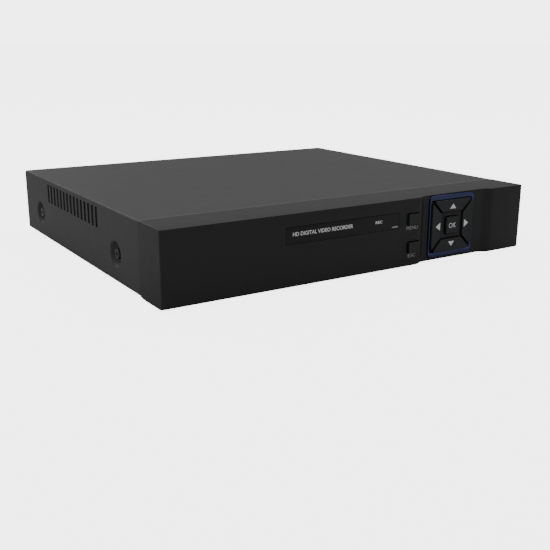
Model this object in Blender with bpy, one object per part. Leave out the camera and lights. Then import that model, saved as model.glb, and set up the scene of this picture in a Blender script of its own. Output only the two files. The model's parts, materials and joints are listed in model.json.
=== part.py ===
"""A mini desktop video recorder, built from its separate pieces.

All sizes are millimetres in case coordinates: x runs across from the left wall, y runs back from the
front face and z runs up from the underside of the case.  to_world turns them into metres about the
part's own origin, which is the bottom centre of the whole recorder.
"""
import math

import bmesh
import bpy
from mathutils import Matrix, Vector

MM = 0.001

# Case
CASE_W = 260.0
CASE_D = 230.0
CASE_H = 41.5
SHEET = 1.0
GAP = 0.3
FOLD_R = 1.5
FOOT_H = 3.0
BUTTON_PROUD = 1.5
BNC_REACH = 13.0
ORIGIN = Vector((CASE_W / 2, (CASE_D + BNC_REACH - BUTTON_PROUD) / 2, -FOOT_H))

# Front bezel
BEZEL_D = 27.0
BEZEL_DROP = 0.8
BEZEL_WALL = 1.8
FACE_WALL = 2.4
CORNER_R = 1.5
RECESS_DEPTH = 3.0
RECESS_LEFT = (170.0, 178.0)
RECESS_RIGHT = (226.0, 233.5)

# Keypad: four arrow keys round an OK key, inside a light ring
PAD_X = 199.7
PAD_Z = 21.2
PAD_HALF = (17.0, 16.2)
PAD_INNER = (9.1, 8.5)
PAD_SPLIT = 1.0
OK_HALF = (5.0, 5.3)
RING_HALF = (18.4, 19.4)
RING_BORE = (PAD_HALF[0] + 0.35, PAD_HALF[1] + 0.35)
RING_FRONT = 2.2
GROOVE_FLOOR = 4.3
KEY_FACE = 1.0
OK_FRAME_FRONT = 2.5
PEG_OFFSET = (10.0, 17.55)
PEG_R = 0.7

# Side buttons: centre x, centre z
BUTTONS = {"menu_button": (166.2, 28.9), "esc_button": (166.9, 11.5)}
BUTTON_HALF = (4.5, 3.3)

# Indicator window
WINDOW_X = (74.5, 154.5)
WINDOW_Z = (24.2, 33.8)
WINDOW_T = 1.3
SLOT_X = (100.0, 152.0)
SLOT_Z = (26.5, 31.5)

# Front board behind the keys
BOARD_T = 1.6
FRONT_BOARD_Y = 13.8
FRONT_BOARD_X = (60.0, 228.0)
FRONT_BOARD_Z = (3.0, 37.5)
SWITCH_FRONT = 10.0
SWITCH_HALF = 3.0
WELL_R = 1.3
WELL_DEPTH = 1.6
STEM_R = 1.0
BOSSES = ((66.0, 10.0), (223.5, 33.0))
INDICATORS = {"led_power": 126.0, "led_record": 138.5, "led_drive": 148.0}
RECEIVER_X = 110.0

# Side walls
VENT_COUNT = 15
VENT_FIRST_Y = 88.3
VENT_PITCH = 6.37
VENT_W = 3.1
VENT_Z = (26.3, 38.6)
DIMPLES = ((60.5, 16.3), (198.0, 16.3))
DIMPLE_R = (7.5, 6.0)
DIMPLE_DEPTH = 2.8
LIP_W = 3.8
FLANGE_X = DIMPLE_DEPTH + SHEET + GAP
FLANGE_H = 24.0
COVER_Y = BEZEL_D + GAP
PAN_Y = BEZEL_D + 1.0
REAR_TABS = (35.0, 95.0)
REAR_SCREW_Z = 33.5
HOOKS = (30.0, 110.0, 215.0)
HOOK_ROOT = 17.4
RIBBON_WINDOW = ((150.0, 182.0), (11.0, 20.0))

# Feet and screws
FEET = ((38.0, 45.0), (222.0, 45.0), (38.0, 205.0), (222.0, 205.0))
FOOT_R = 8.0
SHANK_R = 1.4
HOLE_R = SHANK_R + GAP
HEAD_R = 3.2
HEAD_T = 1.9

# Hard drive
DRIVE_X = (7.5, 109.1)
DRIVE_Y = (65.8, 212.8)
DRIVE_Z = (3.5, 29.6)
DRIVE_SCREWS = ((12.5, 82.0), (104.1, 82.0), (12.5, 184.0), (104.1, 184.0))

# Main board
MAIN_X = (113.0, 253.0)
MAIN_Y = (107.0, 227.0)
MAIN_Z = 6.3
MAIN_TOP = MAIN_Z + BOARD_T
MAIN_SCREWS = ((118.0, 112.0), (248.0, 112.0), (118.0, 200.0), (248.0, 200.0))
CHIP_AT = (185.0, 160.0)
CELL_AT = (132.0, 184.0)

# Rear connectors, all standing on the main board with GAP below them
PLUG_Z = MAIN_TOP + GAP
WALL_Y = (CASE_D - SHEET, CASE_D)
SOCKET_Y = WALL_Y[0] - GAP
BNC_X = (120.5, 136.5, 152.5, 168.5)
BNC_Z = (16.0, 31.0)
BNC_NECK_R = 5.9
AUDIO_X = 183.8
AUDIO_Z = (14.5, 27.5)
AUDIO_NECK_R = 4.9
MONITOR_X = 207.0
VGA_Z = 26.5
HD_Z = 12.8
NETWORK_X = 233.0
NETWORK_HALF = 8.2
NETWORK_Z = (PLUG_Z, 37.4)
LAN_SOCKET = ((227.1, 238.9), (26.6, 34.6))
USB_Z = (12.2, 20.4)
POWER_X = 247.6
POWER_Z = 14.4

# Colour (linear), metallic, roughness
FINISHES = {
    "steel_black": ((0.075, 0.075, 0.078), 0.0, 0.5),
    "bezel_black": ((0.022, 0.022, 0.025), 0.0, 0.35),
    "smoked": ((0.010, 0.010, 0.013), 0.0, 0.12),
    "ring_blue": ((0.03, 0.07, 0.33), 0.0, 0.25),
    "key_grey": ((0.035, 0.037, 0.042), 0.0, 0.3),
    "circuit_green": ((0.02, 0.12, 0.05), 0.0, 0.45),
    "black_plastic": ((0.02, 0.02, 0.02), 0.0, 0.5),
    "lamp_clear": ((0.35, 0.4, 0.45), 0.0, 0.15),
    "rubber_black": ((0.015, 0.015, 0.015), 0.0, 0.8),
    "screw_zinc": ((0.35, 0.35, 0.36), 1.0, 0.35),
    "bare_aluminium": ((0.55, 0.55, 0.56), 1.0, 0.35),
    "socket_nickel": ((0.6, 0.58, 0.54), 1.0, 0.25),
    "cable_red": ((0.35, 0.02, 0.02), 0.0, 0.5),
    "cable_grey": ((0.3, 0.3, 0.3), 0.0, 0.5),
}


def to_world(point):
    return (Vector(point) - ORIGIN) * MM


# ---------------------------------------------------------------- shapes, each added to a bmesh

def box(x, y, z):
    """A block between two x, two y and two z values."""
    def add(bm):
        made = bmesh.ops.create_cube(bm, size=1.0)["verts"]
        low = Vector((x[0], y[0], z[0]))
        high = Vector((x[1], y[1], z[1]))
        bmesh.ops.scale(bm, vec=high - low, verts=made)
        bmesh.ops.translate(bm, vec=(low + high) / 2, verts=made)
    return add


def rod(axis, centre, radius, span, sides=16, far_radius=None):
    """A round bar along an axis; centre gives the other two coordinates in X, Y, Z order."""
    def add(bm):
        far = radius if far_radius is None else far_radius
        made = bmesh.ops.create_cone(bm, cap_ends=True, segments=sides, radius1=radius, radius2=far,
                                     depth=span[1] - span[0])["verts"]
        turns = {"x": Matrix.Rotation(math.pi / 2, 3, "Y"),
                 "y": Matrix.Rotation(-math.pi / 2, 3, "X"),
                 "z": Matrix.Identity(3)}
        bmesh.ops.rotate(bm, cent=(0, 0, 0), matrix=turns[axis], verts=made)
        place = list(centre)
        place.insert("xyz".index(axis), (span[0] + span[1]) / 2)
        bmesh.ops.translate(bm, vec=place, verts=made)
    return add


def prism(axis, outline, span):
    """A flat outline pushed along an axis; its points give the other two coordinates in order."""
    def add(bm):
        corners = []
        for first, second in outline:
            point = [first, second]
            point.insert("xyz".index(axis), span[0])
            corners.append(bm.verts.new(point))
        face = bm.faces.new(corners)
        step = Vector((0, 0, 0))
        step["xyz".index(axis)] = span[1] - span[0]
        pushed = bmesh.ops.extrude_face_region(bm, geom=[face])["geom"]
        moved = [item for item in pushed if isinstance(item, bmesh.types.BMVert)]
        bmesh.ops.translate(bm, vec=step, verts=moved)
    return add


def mesh_of(shapes, name, origin):
    bm = bmesh.new()
    for shape in shapes:
        shape(bm)
    bmesh.ops.recalc_face_normals(bm, faces=bm.faces)
    bmesh.ops.translate(bm, vec=-origin, verts=bm.verts)
    bmesh.ops.scale(bm, vec=(MM, MM, MM), verts=bm.verts)
    mesh = bpy.data.meshes.new(name)
    bm.to_mesh(mesh)
    bm.free()
    return mesh


def piece(name, finish, shapes, *steps, origin=ORIGIN):
    """One named solid: its first shapes, then ("add" or "cut", shapes) steps in order."""
    origin = Vector(origin)
    obj = bpy.data.objects.new(name, mesh_of(shapes, name, origin))
    obj.location = to_world(origin)
    obj.data.materials.append(MATERIALS[finish])
    PARTS.objects.link(obj)
    for number, (kind, tools) in enumerate(steps):
        tool_name = f"{name}.{kind}.{number}"
        tool = bpy.data.objects.new(tool_name, mesh_of(tools, tool_name, origin))
        tool.location = obj.location
        tool.hide_render = True
        tool.display_type = "WIRE"
        CUTTERS.objects.link(tool)
        change = obj.modifiers.new(f"{kind} {number}", "BOOLEAN")
        change.operation = "UNION" if kind == "add" else "DIFFERENCE"
        change.solver = "EXACT"
        change.object = tool
    obj.data.shade_smooth()
    obj.data.set_sharp_from_angle(angle=math.radians(30))
    return obj


def make_materials():
    made = {}
    for name, (colour, metallic, roughness) in FINISHES.items():
        material = bpy.data.materials.new(name)
        material.use_nodes = True
        shader = material.node_tree.nodes["Principled BSDF"]
        shader.inputs["Base Color"].default_value = (*colour, 1.0)
        shader.inputs["Metallic"].default_value = metallic
        shader.inputs["Roughness"].default_value = roughness
        made[name] = material
    return made


def arc(centre, radius, start, end, steps):
    """Points along a round stretch, with angles in degrees."""
    points = []
    for step in range(steps + 1):
        angle = math.radians(start + (end - start) * step / steps)
        points.append((centre[0] + radius * math.cos(angle), centre[1] + radius * math.sin(angle)))
    return points


def rounded(centre, half, radius, steps=4):
    """A rectangle with round corners."""
    points = []
    for quarter, (side_x, side_z) in enumerate(((1, 1), (-1, 1), (-1, -1), (1, -1))):
        corner = (centre[0] + side_x * (half[0] - radius), centre[1] + side_z * (half[1] - radius))
        points += arc(corner, radius, 90 * quarter, 90 * quarter + 90, steps)
    return points


# ---------------------------------------------------------------- case

def top_cover():
    """Top and both side walls folded from one sheet, with short lips turned in underneath."""
    outline = [(LIP_W, 0.0), (0.0, 0.0)]
    outline += arc((FOLD_R, CASE_H - FOLD_R), FOLD_R, 180, 90, 4)
    outline += arc((CASE_W - FOLD_R, CASE_H - FOLD_R), FOLD_R, 90, 0, 4)
    outline += [(CASE_W, 0.0), (CASE_W - LIP_W, 0.0), (CASE_W - LIP_W, SHEET), (CASE_W - SHEET, SHEET)]
    outline += arc((CASE_W - FOLD_R, CASE_H - FOLD_R), FOLD_R - SHEET, 0, 90, 2)
    outline += arc((FOLD_R, CASE_H - FOLD_R), FOLD_R - SHEET, 90, 180, 2)
    outline += [(SHEET, SHEET), (LIP_W, SHEET)]
    cups, hollows, holes = [], [], []
    for y, z in DIMPLES:
        for side in (0, 1):
            wall = side * CASE_W
            inward = 1 - 2 * side
            cups.append(cone_in(wall, inward, (y, z), (0.3, DIMPLE_DEPTH + SHEET),
                                (DIMPLE_R[0] + SHEET, DIMPLE_R[1] + SHEET)))
            hollows.append(cone_in(wall, inward, (y, z), (-0.5, DIMPLE_DEPTH), DIMPLE_R))
            holes.append(cone_in(wall, inward, (y, z), (2.0, 6.0), (HOLE_R, HOLE_R)))
    vents = []
    for index in range(VENT_COUNT):
        y = VENT_FIRST_Y + index * VENT_PITCH
        vents.append(box((-1.0, CASE_W + 1.0), (y - VENT_W / 2, y + VENT_W / 2), VENT_Z))
    lip_y = (WALL_Y[0] - GAP - SHEET, WALL_Y[0] - GAP)
    lip = [box((6.0, CASE_W - 6.0), lip_y, (39.0, CASE_H - SHEET / 2))]
    tabs = [box((x - 8.0, x + 8.0), lip_y, (29.5, 40.0)) for x in REAR_TABS]
    tab_holes = [rod("y", (x, REAR_SCREW_Z), HOLE_R, (lip_y[0] - 1, lip_y[1] + 1), 12) for x in REAR_TABS]
    piece("top_cover", "steel_black", [prism("y", outline, (COVER_Y, CASE_D))],
          ("add", cups), ("cut", hollows), ("cut", holes + vents), ("add", lip), ("add", tabs),
          ("cut", tab_holes))


def cone_in(wall, inward, centre, depths, radii, sides=20):
    """A round taper set into a side wall, from one depth to another."""
    ends = [wall + inward * depth for depth in depths]
    if inward > 0:
        return rod("x", centre, radii[0], ends, sides, radii[1])
    return rod("x", centre, radii[1], ends[::-1], sides, radii[0])


def base_pan():
    """Floor, front wall, side flanges and rear wall folded from one sheet."""
    left, right = FLANGE_X, CASE_W - FLANGE_X
    walls = [
        box((left, right), (PAN_Y, PAN_Y + SHEET), (0.5, 36.0)),
        box((left, left + SHEET), (PAN_Y + 0.5, CASE_D - 0.5), (0.5, FLANGE_H)),
        box((right - SHEET, right), (PAN_Y + 0.5, CASE_D - 0.5), (0.5, FLANGE_H)),
    ]
    rear = box((SHEET + GAP, CASE_W - SHEET - GAP), WALL_Y, (SHEET + GAP, CASE_H - SHEET - GAP))
    posts = [rod("z", at, 5.0, (0.5, DRIVE_Z[0] - GAP), 12) for at in DRIVE_SCREWS]
    posts += [rod("z", at, 3.2, (0.5, MAIN_Z - GAP), 12) for at in MAIN_SCREWS]
    floor_holes = [rod("z", at, HOLE_R, (-1.0, 7.0), 12) for at in DRIVE_SCREWS + MAIN_SCREWS]
    floor_holes += [rod("z", at, 2.3, (-1.0, 2.0), 12) for at in FEET]
    side_holes = [rod("x", at, HOLE_R, (-1.0, CASE_W + 1.0), 12) for at in DIMPLES]
    tab_holes = [rod("y", (x, REAR_SCREW_Z), HOLE_R, (228.0, 231.0), 12) for x in REAR_TABS]
    hook_slots = [box((x - 5.0, x + 5.0), (26.0, 31.0), (24.5, 30.5)) for x in HOOKS]
    ribbon = [box(RIBBON_WINDOW[0], (26.0, 31.0), RIBBON_WINDOW[1])]
    grille = [box((24.0 + 8.0 * n, 27.0 + 8.0 * n), (228.0, 231.0), (9.0, 25.0)) for n in range(10)]
    piece("base_pan", "steel_black", [box((left, right), (PAN_Y, CASE_D), (0.0, SHEET))],
          ("add", walls[:1]), ("add", walls[1:]), ("add", [rear]), ("add", posts),
          ("cut", floor_holes), ("cut", side_holes), ("cut", hook_slots + ribbon),
          ("cut", tab_holes + grille + connector_cuts()))


def connector_cuts():
    """The holes that the connectors pass through in the rear wall."""
    through = (228.0, 231.0)
    cuts = [rod("y", (x, z), BNC_NECK_R + 0.4, through, 16) for x in BNC_X for z in BNC_Z]
    cuts += [rod("y", (AUDIO_X, z), AUDIO_NECK_R + 0.4, through, 16) for z in AUDIO_Z]
    cuts.append(box((MONITOR_X - 16.0, MONITOR_X + 16.0), through, (VGA_Z - 6.8, VGA_Z + 6.8)))
    cuts.append(box((MONITOR_X - 8.2, MONITOR_X + 8.2), through, (HD_Z - 3.8, HD_Z + 3.8)))
    cuts.append(box((NETWORK_X - NETWORK_HALF - 0.4, NETWORK_X + NETWORK_HALF + 0.4), through,
                    (NETWORK_Z[0] - 0.4, NETWORK_Z[1] + 0.4)))
    cuts.append(rod("y", (POWER_X, POWER_Z), 4.4, through, 16))
    return cuts


def face_y(x):
    """How far back the bezel's face lies: flat, with a shallow recess that has eased ends."""
    left = min(max((x - RECESS_LEFT[0]) / (RECESS_LEFT[1] - RECESS_LEFT[0]), 0.0), 1.0)
    right = min(max((RECESS_RIGHT[1] - x) / (RECESS_RIGHT[1] - RECESS_RIGHT[0]), 0.0), 1.0)
    return RECESS_DEPTH * (1 - math.cos(math.pi * min(left, right))) / 2


def face_line(back, steps=8):
    """The face's plan from left to right, moved back by a distance."""
    points = []
    for start, end in (RECESS_LEFT, RECESS_RIGHT):
        for step in range(steps + 1):
            x = start + (end - start) * step / steps
            points.append((x, face_y(x) + back))
    return points


def front_bezel():
    """A moulded shell, open at the back, with bosses and hooks for what it carries."""
    outer = [(0.0, BEZEL_D)] + arc((CORNER_R, CORNER_R), CORNER_R, 180, 270, 3) + face_line(0.0)
    outer += arc((CASE_W - CORNER_R, CORNER_R), CORNER_R, 270, 360, 3) + [(CASE_W, BEZEL_D)]
    inner = [(BEZEL_WALL, BEZEL_D + 1), (BEZEL_WALL, FACE_WALL)] + face_line(FACE_WALL)
    inner += [(CASE_W - BEZEL_WALL, FACE_WALL), (CASE_W - BEZEL_WALL, BEZEL_D + 1)]
    pad = (PAD_X, PAD_Z)
    groove = rounded(pad, (RING_HALF[0] + GAP, RING_HALF[1] + GAP), 3.0)
    island = rounded(pad, (RING_BORE[0] - GAP, RING_BORE[1] - GAP), 0.5, 1)
    wall_back = RECESS_DEPTH + FACE_WALL
    ok_frame = box_about(pad, PAD_INNER, -GAP, (OK_FRAME_FRONT, wall_back - 1.0))
    key_holes = [prism("y", key_outline(name, GAP), (-1.0, wall_back + 1)) for name in ARROWS]
    key_holes.append(box_about(pad, OK_HALF, GAP, (-1.0, wall_back + 1)))
    key_holes += [box_about(at, BUTTON_HALF, GAP, (-2.0, FACE_WALL + 1)) for at in BUTTONS.values()]
    pegs = [rod("y", at, PEG_R + GAP, (2.0, wall_back + 1), 10) for at in peg_places()]
    pocket = box((WINDOW_X[0] - GAP, WINDOW_X[1] + GAP), (-1.0, 0.1 + WINDOW_T + GAP),
                 (WINDOW_Z[0] - GAP, WINDOW_Z[1] + GAP))
    slot = box(SLOT_X, (0.5, FACE_WALL + 1), SLOT_Z)
    bosses = [rod("y", at, 3.0, (face_y(at[0]) + 1.5, FRONT_BOARD_Y - GAP), 12) for at in BOSSES]
    boss_holes = [rod("y", at, SHANK_R - 0.2 + GAP, (7.0, FRONT_BOARD_Y + 1), 10) for at in BOSSES]
    hooks, barbs = [], []
    for x in HOOKS:
        hooks.append(box((x - 4.0, x + 4.0), (HOOK_ROOT, PAN_Y + SHEET + 3.0), (26.5, 28.5)))
        barbs.append(box((x - 4.0, x + 4.0), (HOOK_ROOT, HOOK_ROOT + 2.6), (27.5, 40.5)))
        barbs.append(box((x - 4.0, x + 4.0), (PAN_Y + SHEET + GAP, PAN_Y + SHEET + 2.0), (27.5, 29.8)))
    piece("front_bezel", "bezel_black", [prism("z", outer, (-BEZEL_DROP, CASE_H))],
          ("cut", [prism("z", inner, (-BEZEL_DROP + BEZEL_WALL, CASE_H - BEZEL_WALL))]),
          ("cut", [prism("y", groove, (-1.0, GROOVE_FLOOR))]),
          ("add", [prism("y", island, (RECESS_DEPTH, wall_back))]), ("add", [ok_frame]),
          ("cut", key_holes), ("cut", pegs), ("cut", [pocket]), ("cut", [slot]),
          ("add", bosses), ("cut", boss_holes), ("add", hooks), ("add", barbs))


def box_about(centre, half, grow, span):
    """A block on the face, given by its centre and half sizes."""
    return box((centre[0] - half[0] - grow, centre[0] + half[0] + grow), span,
               (centre[1] - half[1] - grow, centre[1] + half[1] + grow))


def peg_places():
    dx, dz = PEG_OFFSET
    return [(PAD_X + sx * dx, PAD_Z + sz * dz) for sx in (-1, 1) for sz in (-1, 1)]


def indicator_window():
    span = (0.1, 0.1 + WINDOW_T)
    piece("indicator_window", "smoked", [box(WINDOW_X, span, WINDOW_Z)])


def dpad_light_ring():
    """A square light guide seated in the bezel's groove, lit through four pegs."""
    pad = (PAD_X, PAD_Z)
    depth = (RING_FRONT, GROOVE_FLOOR - GAP)
    bore = rounded(pad, RING_BORE, 0.8, 2)
    pegs = [rod("y", at, PEG_R, (depth[1] - 0.5, 12.0), 10) for at in peg_places()]
    piece("dpad_light_ring", "ring_blue", [prism("y", rounded(pad, RING_HALF, 2.8), depth)],
          ("cut", [prism("y", bore, (depth[0] - 1, depth[1] + 1))]), ("add", pegs))


# ---------------------------------------------------------------- keys

ARROWS = {"key_up": (0, 1), "key_down": (0, -1), "key_left": (-1, 0), "key_right": (1, 0)}


def key_outline(name, grow):
    """An arrow key's trapezium: wide edge outside, narrow edge towards the OK key."""
    way_x, way_z = ARROWS[name]
    along = 1 if way_z else 0
    outer = PAD_HALF[along]
    inner = PAD_INNER[along]
    wide = PAD_HALF[1 - along] - PAD_SPLIT
    narrow = PAD_INNER[1 - along] - PAD_SPLIT
    corners = ((wide + grow, outer + grow), (narrow + grow, inner - grow),
               (-narrow - grow, inner - grow), (-wide - grow, outer + grow))
    points = []
    for side, out in corners:
        if way_z:
            points.append((PAD_X + side, PAD_Z + out * way_z))
        else:
            points.append((PAD_X + out * way_x, PAD_Z + side))
    return points


def arrow_key(name):
    way_x, way_z = ARROWS[name]
    flange_front = RECESS_DEPTH + FACE_WALL + GAP
    flange = (flange_front, flange_front + 1.2)
    middle = (PAD_HALF[0] + PAD_INNER[0]) / 2, (PAD_HALF[1] + PAD_INNER[1]) / 2
    centre = (PAD_X + way_x * middle[0], PAD_Z + way_z * middle[1])
    reach = [(0.0, 0.0), (0.0, 0.0)]
    edge = (PAD_X + way_x * PAD_HALF[0], PAD_Z + way_z * PAD_HALF[1])
    for axis, way in enumerate((way_x, way_z)):
        if way:
            ends = sorted((edge[axis] - way * 3.0, edge[axis] + way * 1.1))
            reach[axis] = (ends[0], ends[1])
        else:
            reach[axis] = (edge[axis] - 6.0, edge[axis] + 6.0)
    piece(name, "key_grey", [prism("y", key_outline(name, 0.0), (KEY_FACE, flange[1] - 0.1))],
          ("add", [box(reach[0], flange, reach[1])]),
          ("add", [rod("y", centre, STEM_R, (flange[1] - 0.6, SWITCH_FRONT + GAP), 10)]),
          origin=(centre[0], KEY_FACE, centre[1]))
    key_switch(name.replace("key_", "switch_"), centre)


def square_key(name, centre, half, face, wall_back):
    """A rectangular key with a flange behind the bezel wall and a stem to its switch."""
    flange_front = wall_back + GAP
    flange = (flange_front, flange_front + 1.0)
    piece(name, "key_grey", [box_about(centre, half, 0.0, (face, flange[1] - 0.1))],
          ("add", [box_about(centre, half, 0.9, flange)]),
          ("add", [rod("y", centre, STEM_R, (flange[1] - 0.6, SWITCH_FRONT + GAP), 10)]),
          origin=(centre[0], face, centre[1]))
    key_switch("switch_" + name.replace("key_", "").replace("_button", ""), centre)


def key_switch(name, centre):
    """A tact switch on the front board; the key's stem sits in its well."""
    back = FRONT_BOARD_Y - GAP
    half = (SWITCH_HALF, SWITCH_HALF)
    piece(name, "black_plastic", [box_about(centre, half, 0.0, (SWITCH_FRONT, back))],
          ("cut", [rod("y", centre, WELL_R, (SWITCH_FRONT - 1, SWITCH_FRONT + WELL_DEPTH), 10)]))


# ---------------------------------------------------------------- front electronics

def front_board():
    thick = (FRONT_BOARD_Y, FRONT_BOARD_Y + BOARD_T)
    holes = [rod("y", at, HOLE_R, (thick[0] - 1, thick[1] + 1), 12) for at in BOSSES]
    piece("front_board", "circuit_green", [box(FRONT_BOARD_X, thick, FRONT_BOARD_Z)], ("cut", holes))
    mid_z = (SLOT_Z[0] + SLOT_Z[1]) / 2
    back = FRONT_BOARD_Y - GAP
    for name, x in INDICATORS.items():
        piece(name, "lamp_clear", [rod("y", (x, mid_z), 1.5, (5.0, back), 12)],
              ("add", [rod("y", (x, mid_z), 1.9, (back - 2.0, back - 1.0), 12)]))
    piece("ir_receiver", "black_plastic",
          [box((RECEIVER_X - 3.0, RECEIVER_X + 3.0), (8.5, back), (mid_z - 3.2, mid_z + 3.2))],
          ("add", [rod("y", (RECEIVER_X, mid_z), 2.2, (6.5, 9.0), 12)]))


# ---------------------------------------------------------------- fasteners and feet

def screw(name, axis, at, seat, way, length, cross=False, head_r=HEAD_R, shank_r=SHANK_R):
    """A pan-head screw: its head sits just off the seat and its shank runs the given way."""
    off = seat - way * GAP
    head = sorted((off, off - way * HEAD_T))
    shank = sorted((off - way * 0.5, off + way * length))
    steps = [("add", [rod(axis, at, shank_r, shank, 10)])]
    if cross:
        top = off - way * HEAD_T
        depth = sorted((top - way * 1.0, top + way * 1.1))
        for wide, tall in ((1.9, 0.45), (0.45, 1.9)):
            first = (at[0] - wide, at[0] + wide)
            second = (at[1] - tall, at[1] + tall)
            spans = [first, second]
            spans.insert("xyz".index(axis), depth)
            steps.append(("cut", [box(*spans)]))
    piece(name, "screw_zinc", [rod(axis, at, head_r, head, 14)], *steps)


def fasteners():
    for number, at in enumerate(DIMPLES, 1):
        screw(f"cover_screw_left_{number}", "x", at, DIMPLE_DEPTH, 1, 5.0, cross=True)
        screw(f"cover_screw_right_{number}", "x", at, CASE_W - DIMPLE_DEPTH, -1, 5.0, cross=True)
    for number, x in enumerate(REAR_TABS, 1):
        screw(f"rear_screw_{number}", "y", (x, REAR_SCREW_Z), CASE_D, -1, 5.0, cross=True)
    for number, at in enumerate(DRIVE_SCREWS, 1):
        screw(f"drive_screw_{number}", "z", at, 0.0, 1, 7.5)
    for number, at in enumerate(MAIN_SCREWS, 1):
        screw(f"board_screw_{number}", "z", at, MAIN_TOP, -1, 5.0, head_r=2.6)
    for number, at in enumerate(BOSSES, 1):
        screw(f"front_board_screw_{number}", "y", at, FRONT_BOARD_Y + BOARD_T, -1, 6.0, head_r=2.6,
              shank_r=SHANK_R - 0.2)


def feet():
    for name, at in zip(("front_left", "front_right", "rear_left", "rear_right"), FEET):
        piece(f"foot_{name}", "rubber_black", [rod("z", at, FOOT_R - 0.6, (-FOOT_H, -GAP), 24, FOOT_R)],
              ("add", [rod("z", at, 1.9, (-1.0, 2.4), 10)]))


# ---------------------------------------------------------------- boards and drive

def main_board():
    holes = [rod("z", at, HOLE_R, (MAIN_Z - 1, MAIN_TOP + 1), 12) for at in MAIN_SCREWS]
    below = MAIN_TOP - 0.4
    x, y = CHIP_AT
    chips = [box((x - 14, x + 14), (y - 14, y + 14), (below, MAIN_TOP + 1.5))]
    chips += [box((x - 42, x - 30), (y + s, y + s + 9), (below, MAIN_TOP + 1.1)) for s in (-14, 2)]
    chips += [box((x + 26, x + 38), (y + s, y + s + 12), (below, MAIN_TOP + 1.1)) for s in (-16, 4)]
    chips += [rod("z", (240.0, 130.0 + 13.0 * n), 4.0, (below, MAIN_TOP + 10.0), 12) for n in range(3)]
    chips.append(box((118.0, 128.0), (140.0, 160.0), (below, MAIN_TOP + 5.0)))
    piece("main_board", "circuit_green", [box(MAIN_X, MAIN_Y, (MAIN_Z, MAIN_TOP))],
          ("add", chips), ("cut", holes))


def soc_heatsink():
    """A finned block standing on the processor."""
    x, y = CHIP_AT
    low = MAIN_TOP + 1.5 + GAP
    fins, pitch, top, thick = 8, 5.0, 12.0, 1.6
    outline = [(x + 18.3, low), (x - 18.3, low)]
    for fin in range(fins):
        left = x - 18.3 + fin * pitch
        outline += [(left, low + top), (left + thick, low + top)]
        if fin < fins - 1:
            outline += [(left + thick, low + 3.0), (left + pitch, low + 3.0)]
    piece("soc_heatsink", "bare_aluminium", [prism("y", outline, (y - 18, y + 18))])


def backup_battery():
    low = MAIN_TOP + GAP
    piece("backup_battery", "socket_nickel", [rod("z", CELL_AT, 10.0, (low, low + 3.2), 24)])


def hard_drive():
    """A drive casting, hollow from below, with its circuit board in the hollow's mouth."""
    hollow = box((15.0, 101.6), (90.0, 176.0), (DRIVE_Z[0] - 1, 21.5))
    posts = [rod("z", at, 3.0, (6.2, 22.0), 10) for at in ((20.0, 95.0), (96.0, 95.0), (58.0, 150.0))]
    threads = [rod("z", at, HOLE_R, (DRIVE_Z[0] - 1, 9.0), 12) for at in DRIVE_SCREWS]
    step = box((DRIVE_X[0] - 1, 30.0), (DRIVE_Y[1] - 10, DRIVE_Y[1] + 1), (24.0, 31.0))
    piece("drive_case", "bare_aluminium", [box(DRIVE_X, DRIVE_Y, DRIVE_Z)],
          ("cut", [hollow]), ("cut", threads), ("cut", [step]), ("add", posts))
    piece("drive_board", "circuit_green", [box((15.4, 101.2), (90.4, 156.0), (4.3, 5.9))])


# ---------------------------------------------------------------- cables

def cable_mesh(points, radius, name):
    """A round cable through the given points, rounded by a smooth curve, as a closed mesh."""
    ends = [Vector(point) for point in points]
    ends = [2 * ends[0] - ends[1]] + ends + [2 * ends[-1] - ends[-2]]
    path = []
    for first, start, end, last in zip(ends, ends[1:], ends[2:], ends[3:]):
        for step in range(4):
            t = step / 4
            square = (2 * first - 5 * start + 4 * end - last) * t ** 2
            cube = (3 * start - first - 3 * end + last) * t ** 3
            path.append(0.5 * (2 * start + (end - first) * t + square + cube))
    path.append(ends[-2])
    curve = bpy.data.curves.new(name, "CURVE")
    curve.dimensions = "3D"
    curve.bevel_depth = radius * MM
    curve.bevel_resolution = 2
    curve.use_fill_caps = True
    line = curve.splines.new("POLY")
    line.points.add(len(path) - 1)
    for knot, point in zip(line.points, path):
        knot.co = (*to_world(point), 1.0)
    guide = bpy.data.objects.new(name, curve)
    PARTS.objects.link(guide)
    bpy.context.view_layer.update()
    shaped = bpy.data.meshes.new_from_object(guide.evaluated_get(bpy.context.evaluated_depsgraph_get()))
    bpy.data.objects.remove(guide)
    bpy.data.curves.remove(curve)
    bm = bmesh.new()
    bm.from_mesh(shaped)
    bmesh.ops.remove_doubles(bm, verts=bm.verts, dist=0.00001)
    bmesh.ops.recalc_face_normals(bm, faces=bm.faces)
    bm.to_mesh(shaped)
    bm.free()
    return shaped


def cable(name, finish, points, radius, plugs):
    """A cable with a plug at each end."""
    obj = piece(name, finish, [plugs[0]], ("add", [plugs[1]]))
    shaped = cable_mesh(points, radius, name + ".run")
    shaped.transform(Matrix.Translation(-obj.location))
    run = bpy.data.objects.new(name + ".run", shaped)
    run.location = obj.location
    run.hide_render = True
    run.display_type = "WIRE"
    CUTTERS.objects.link(run)
    change = obj.modifiers.new("run", "BOOLEAN")
    change.operation = "UNION"
    change.solver = "EXACT"
    change.object = run


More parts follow.
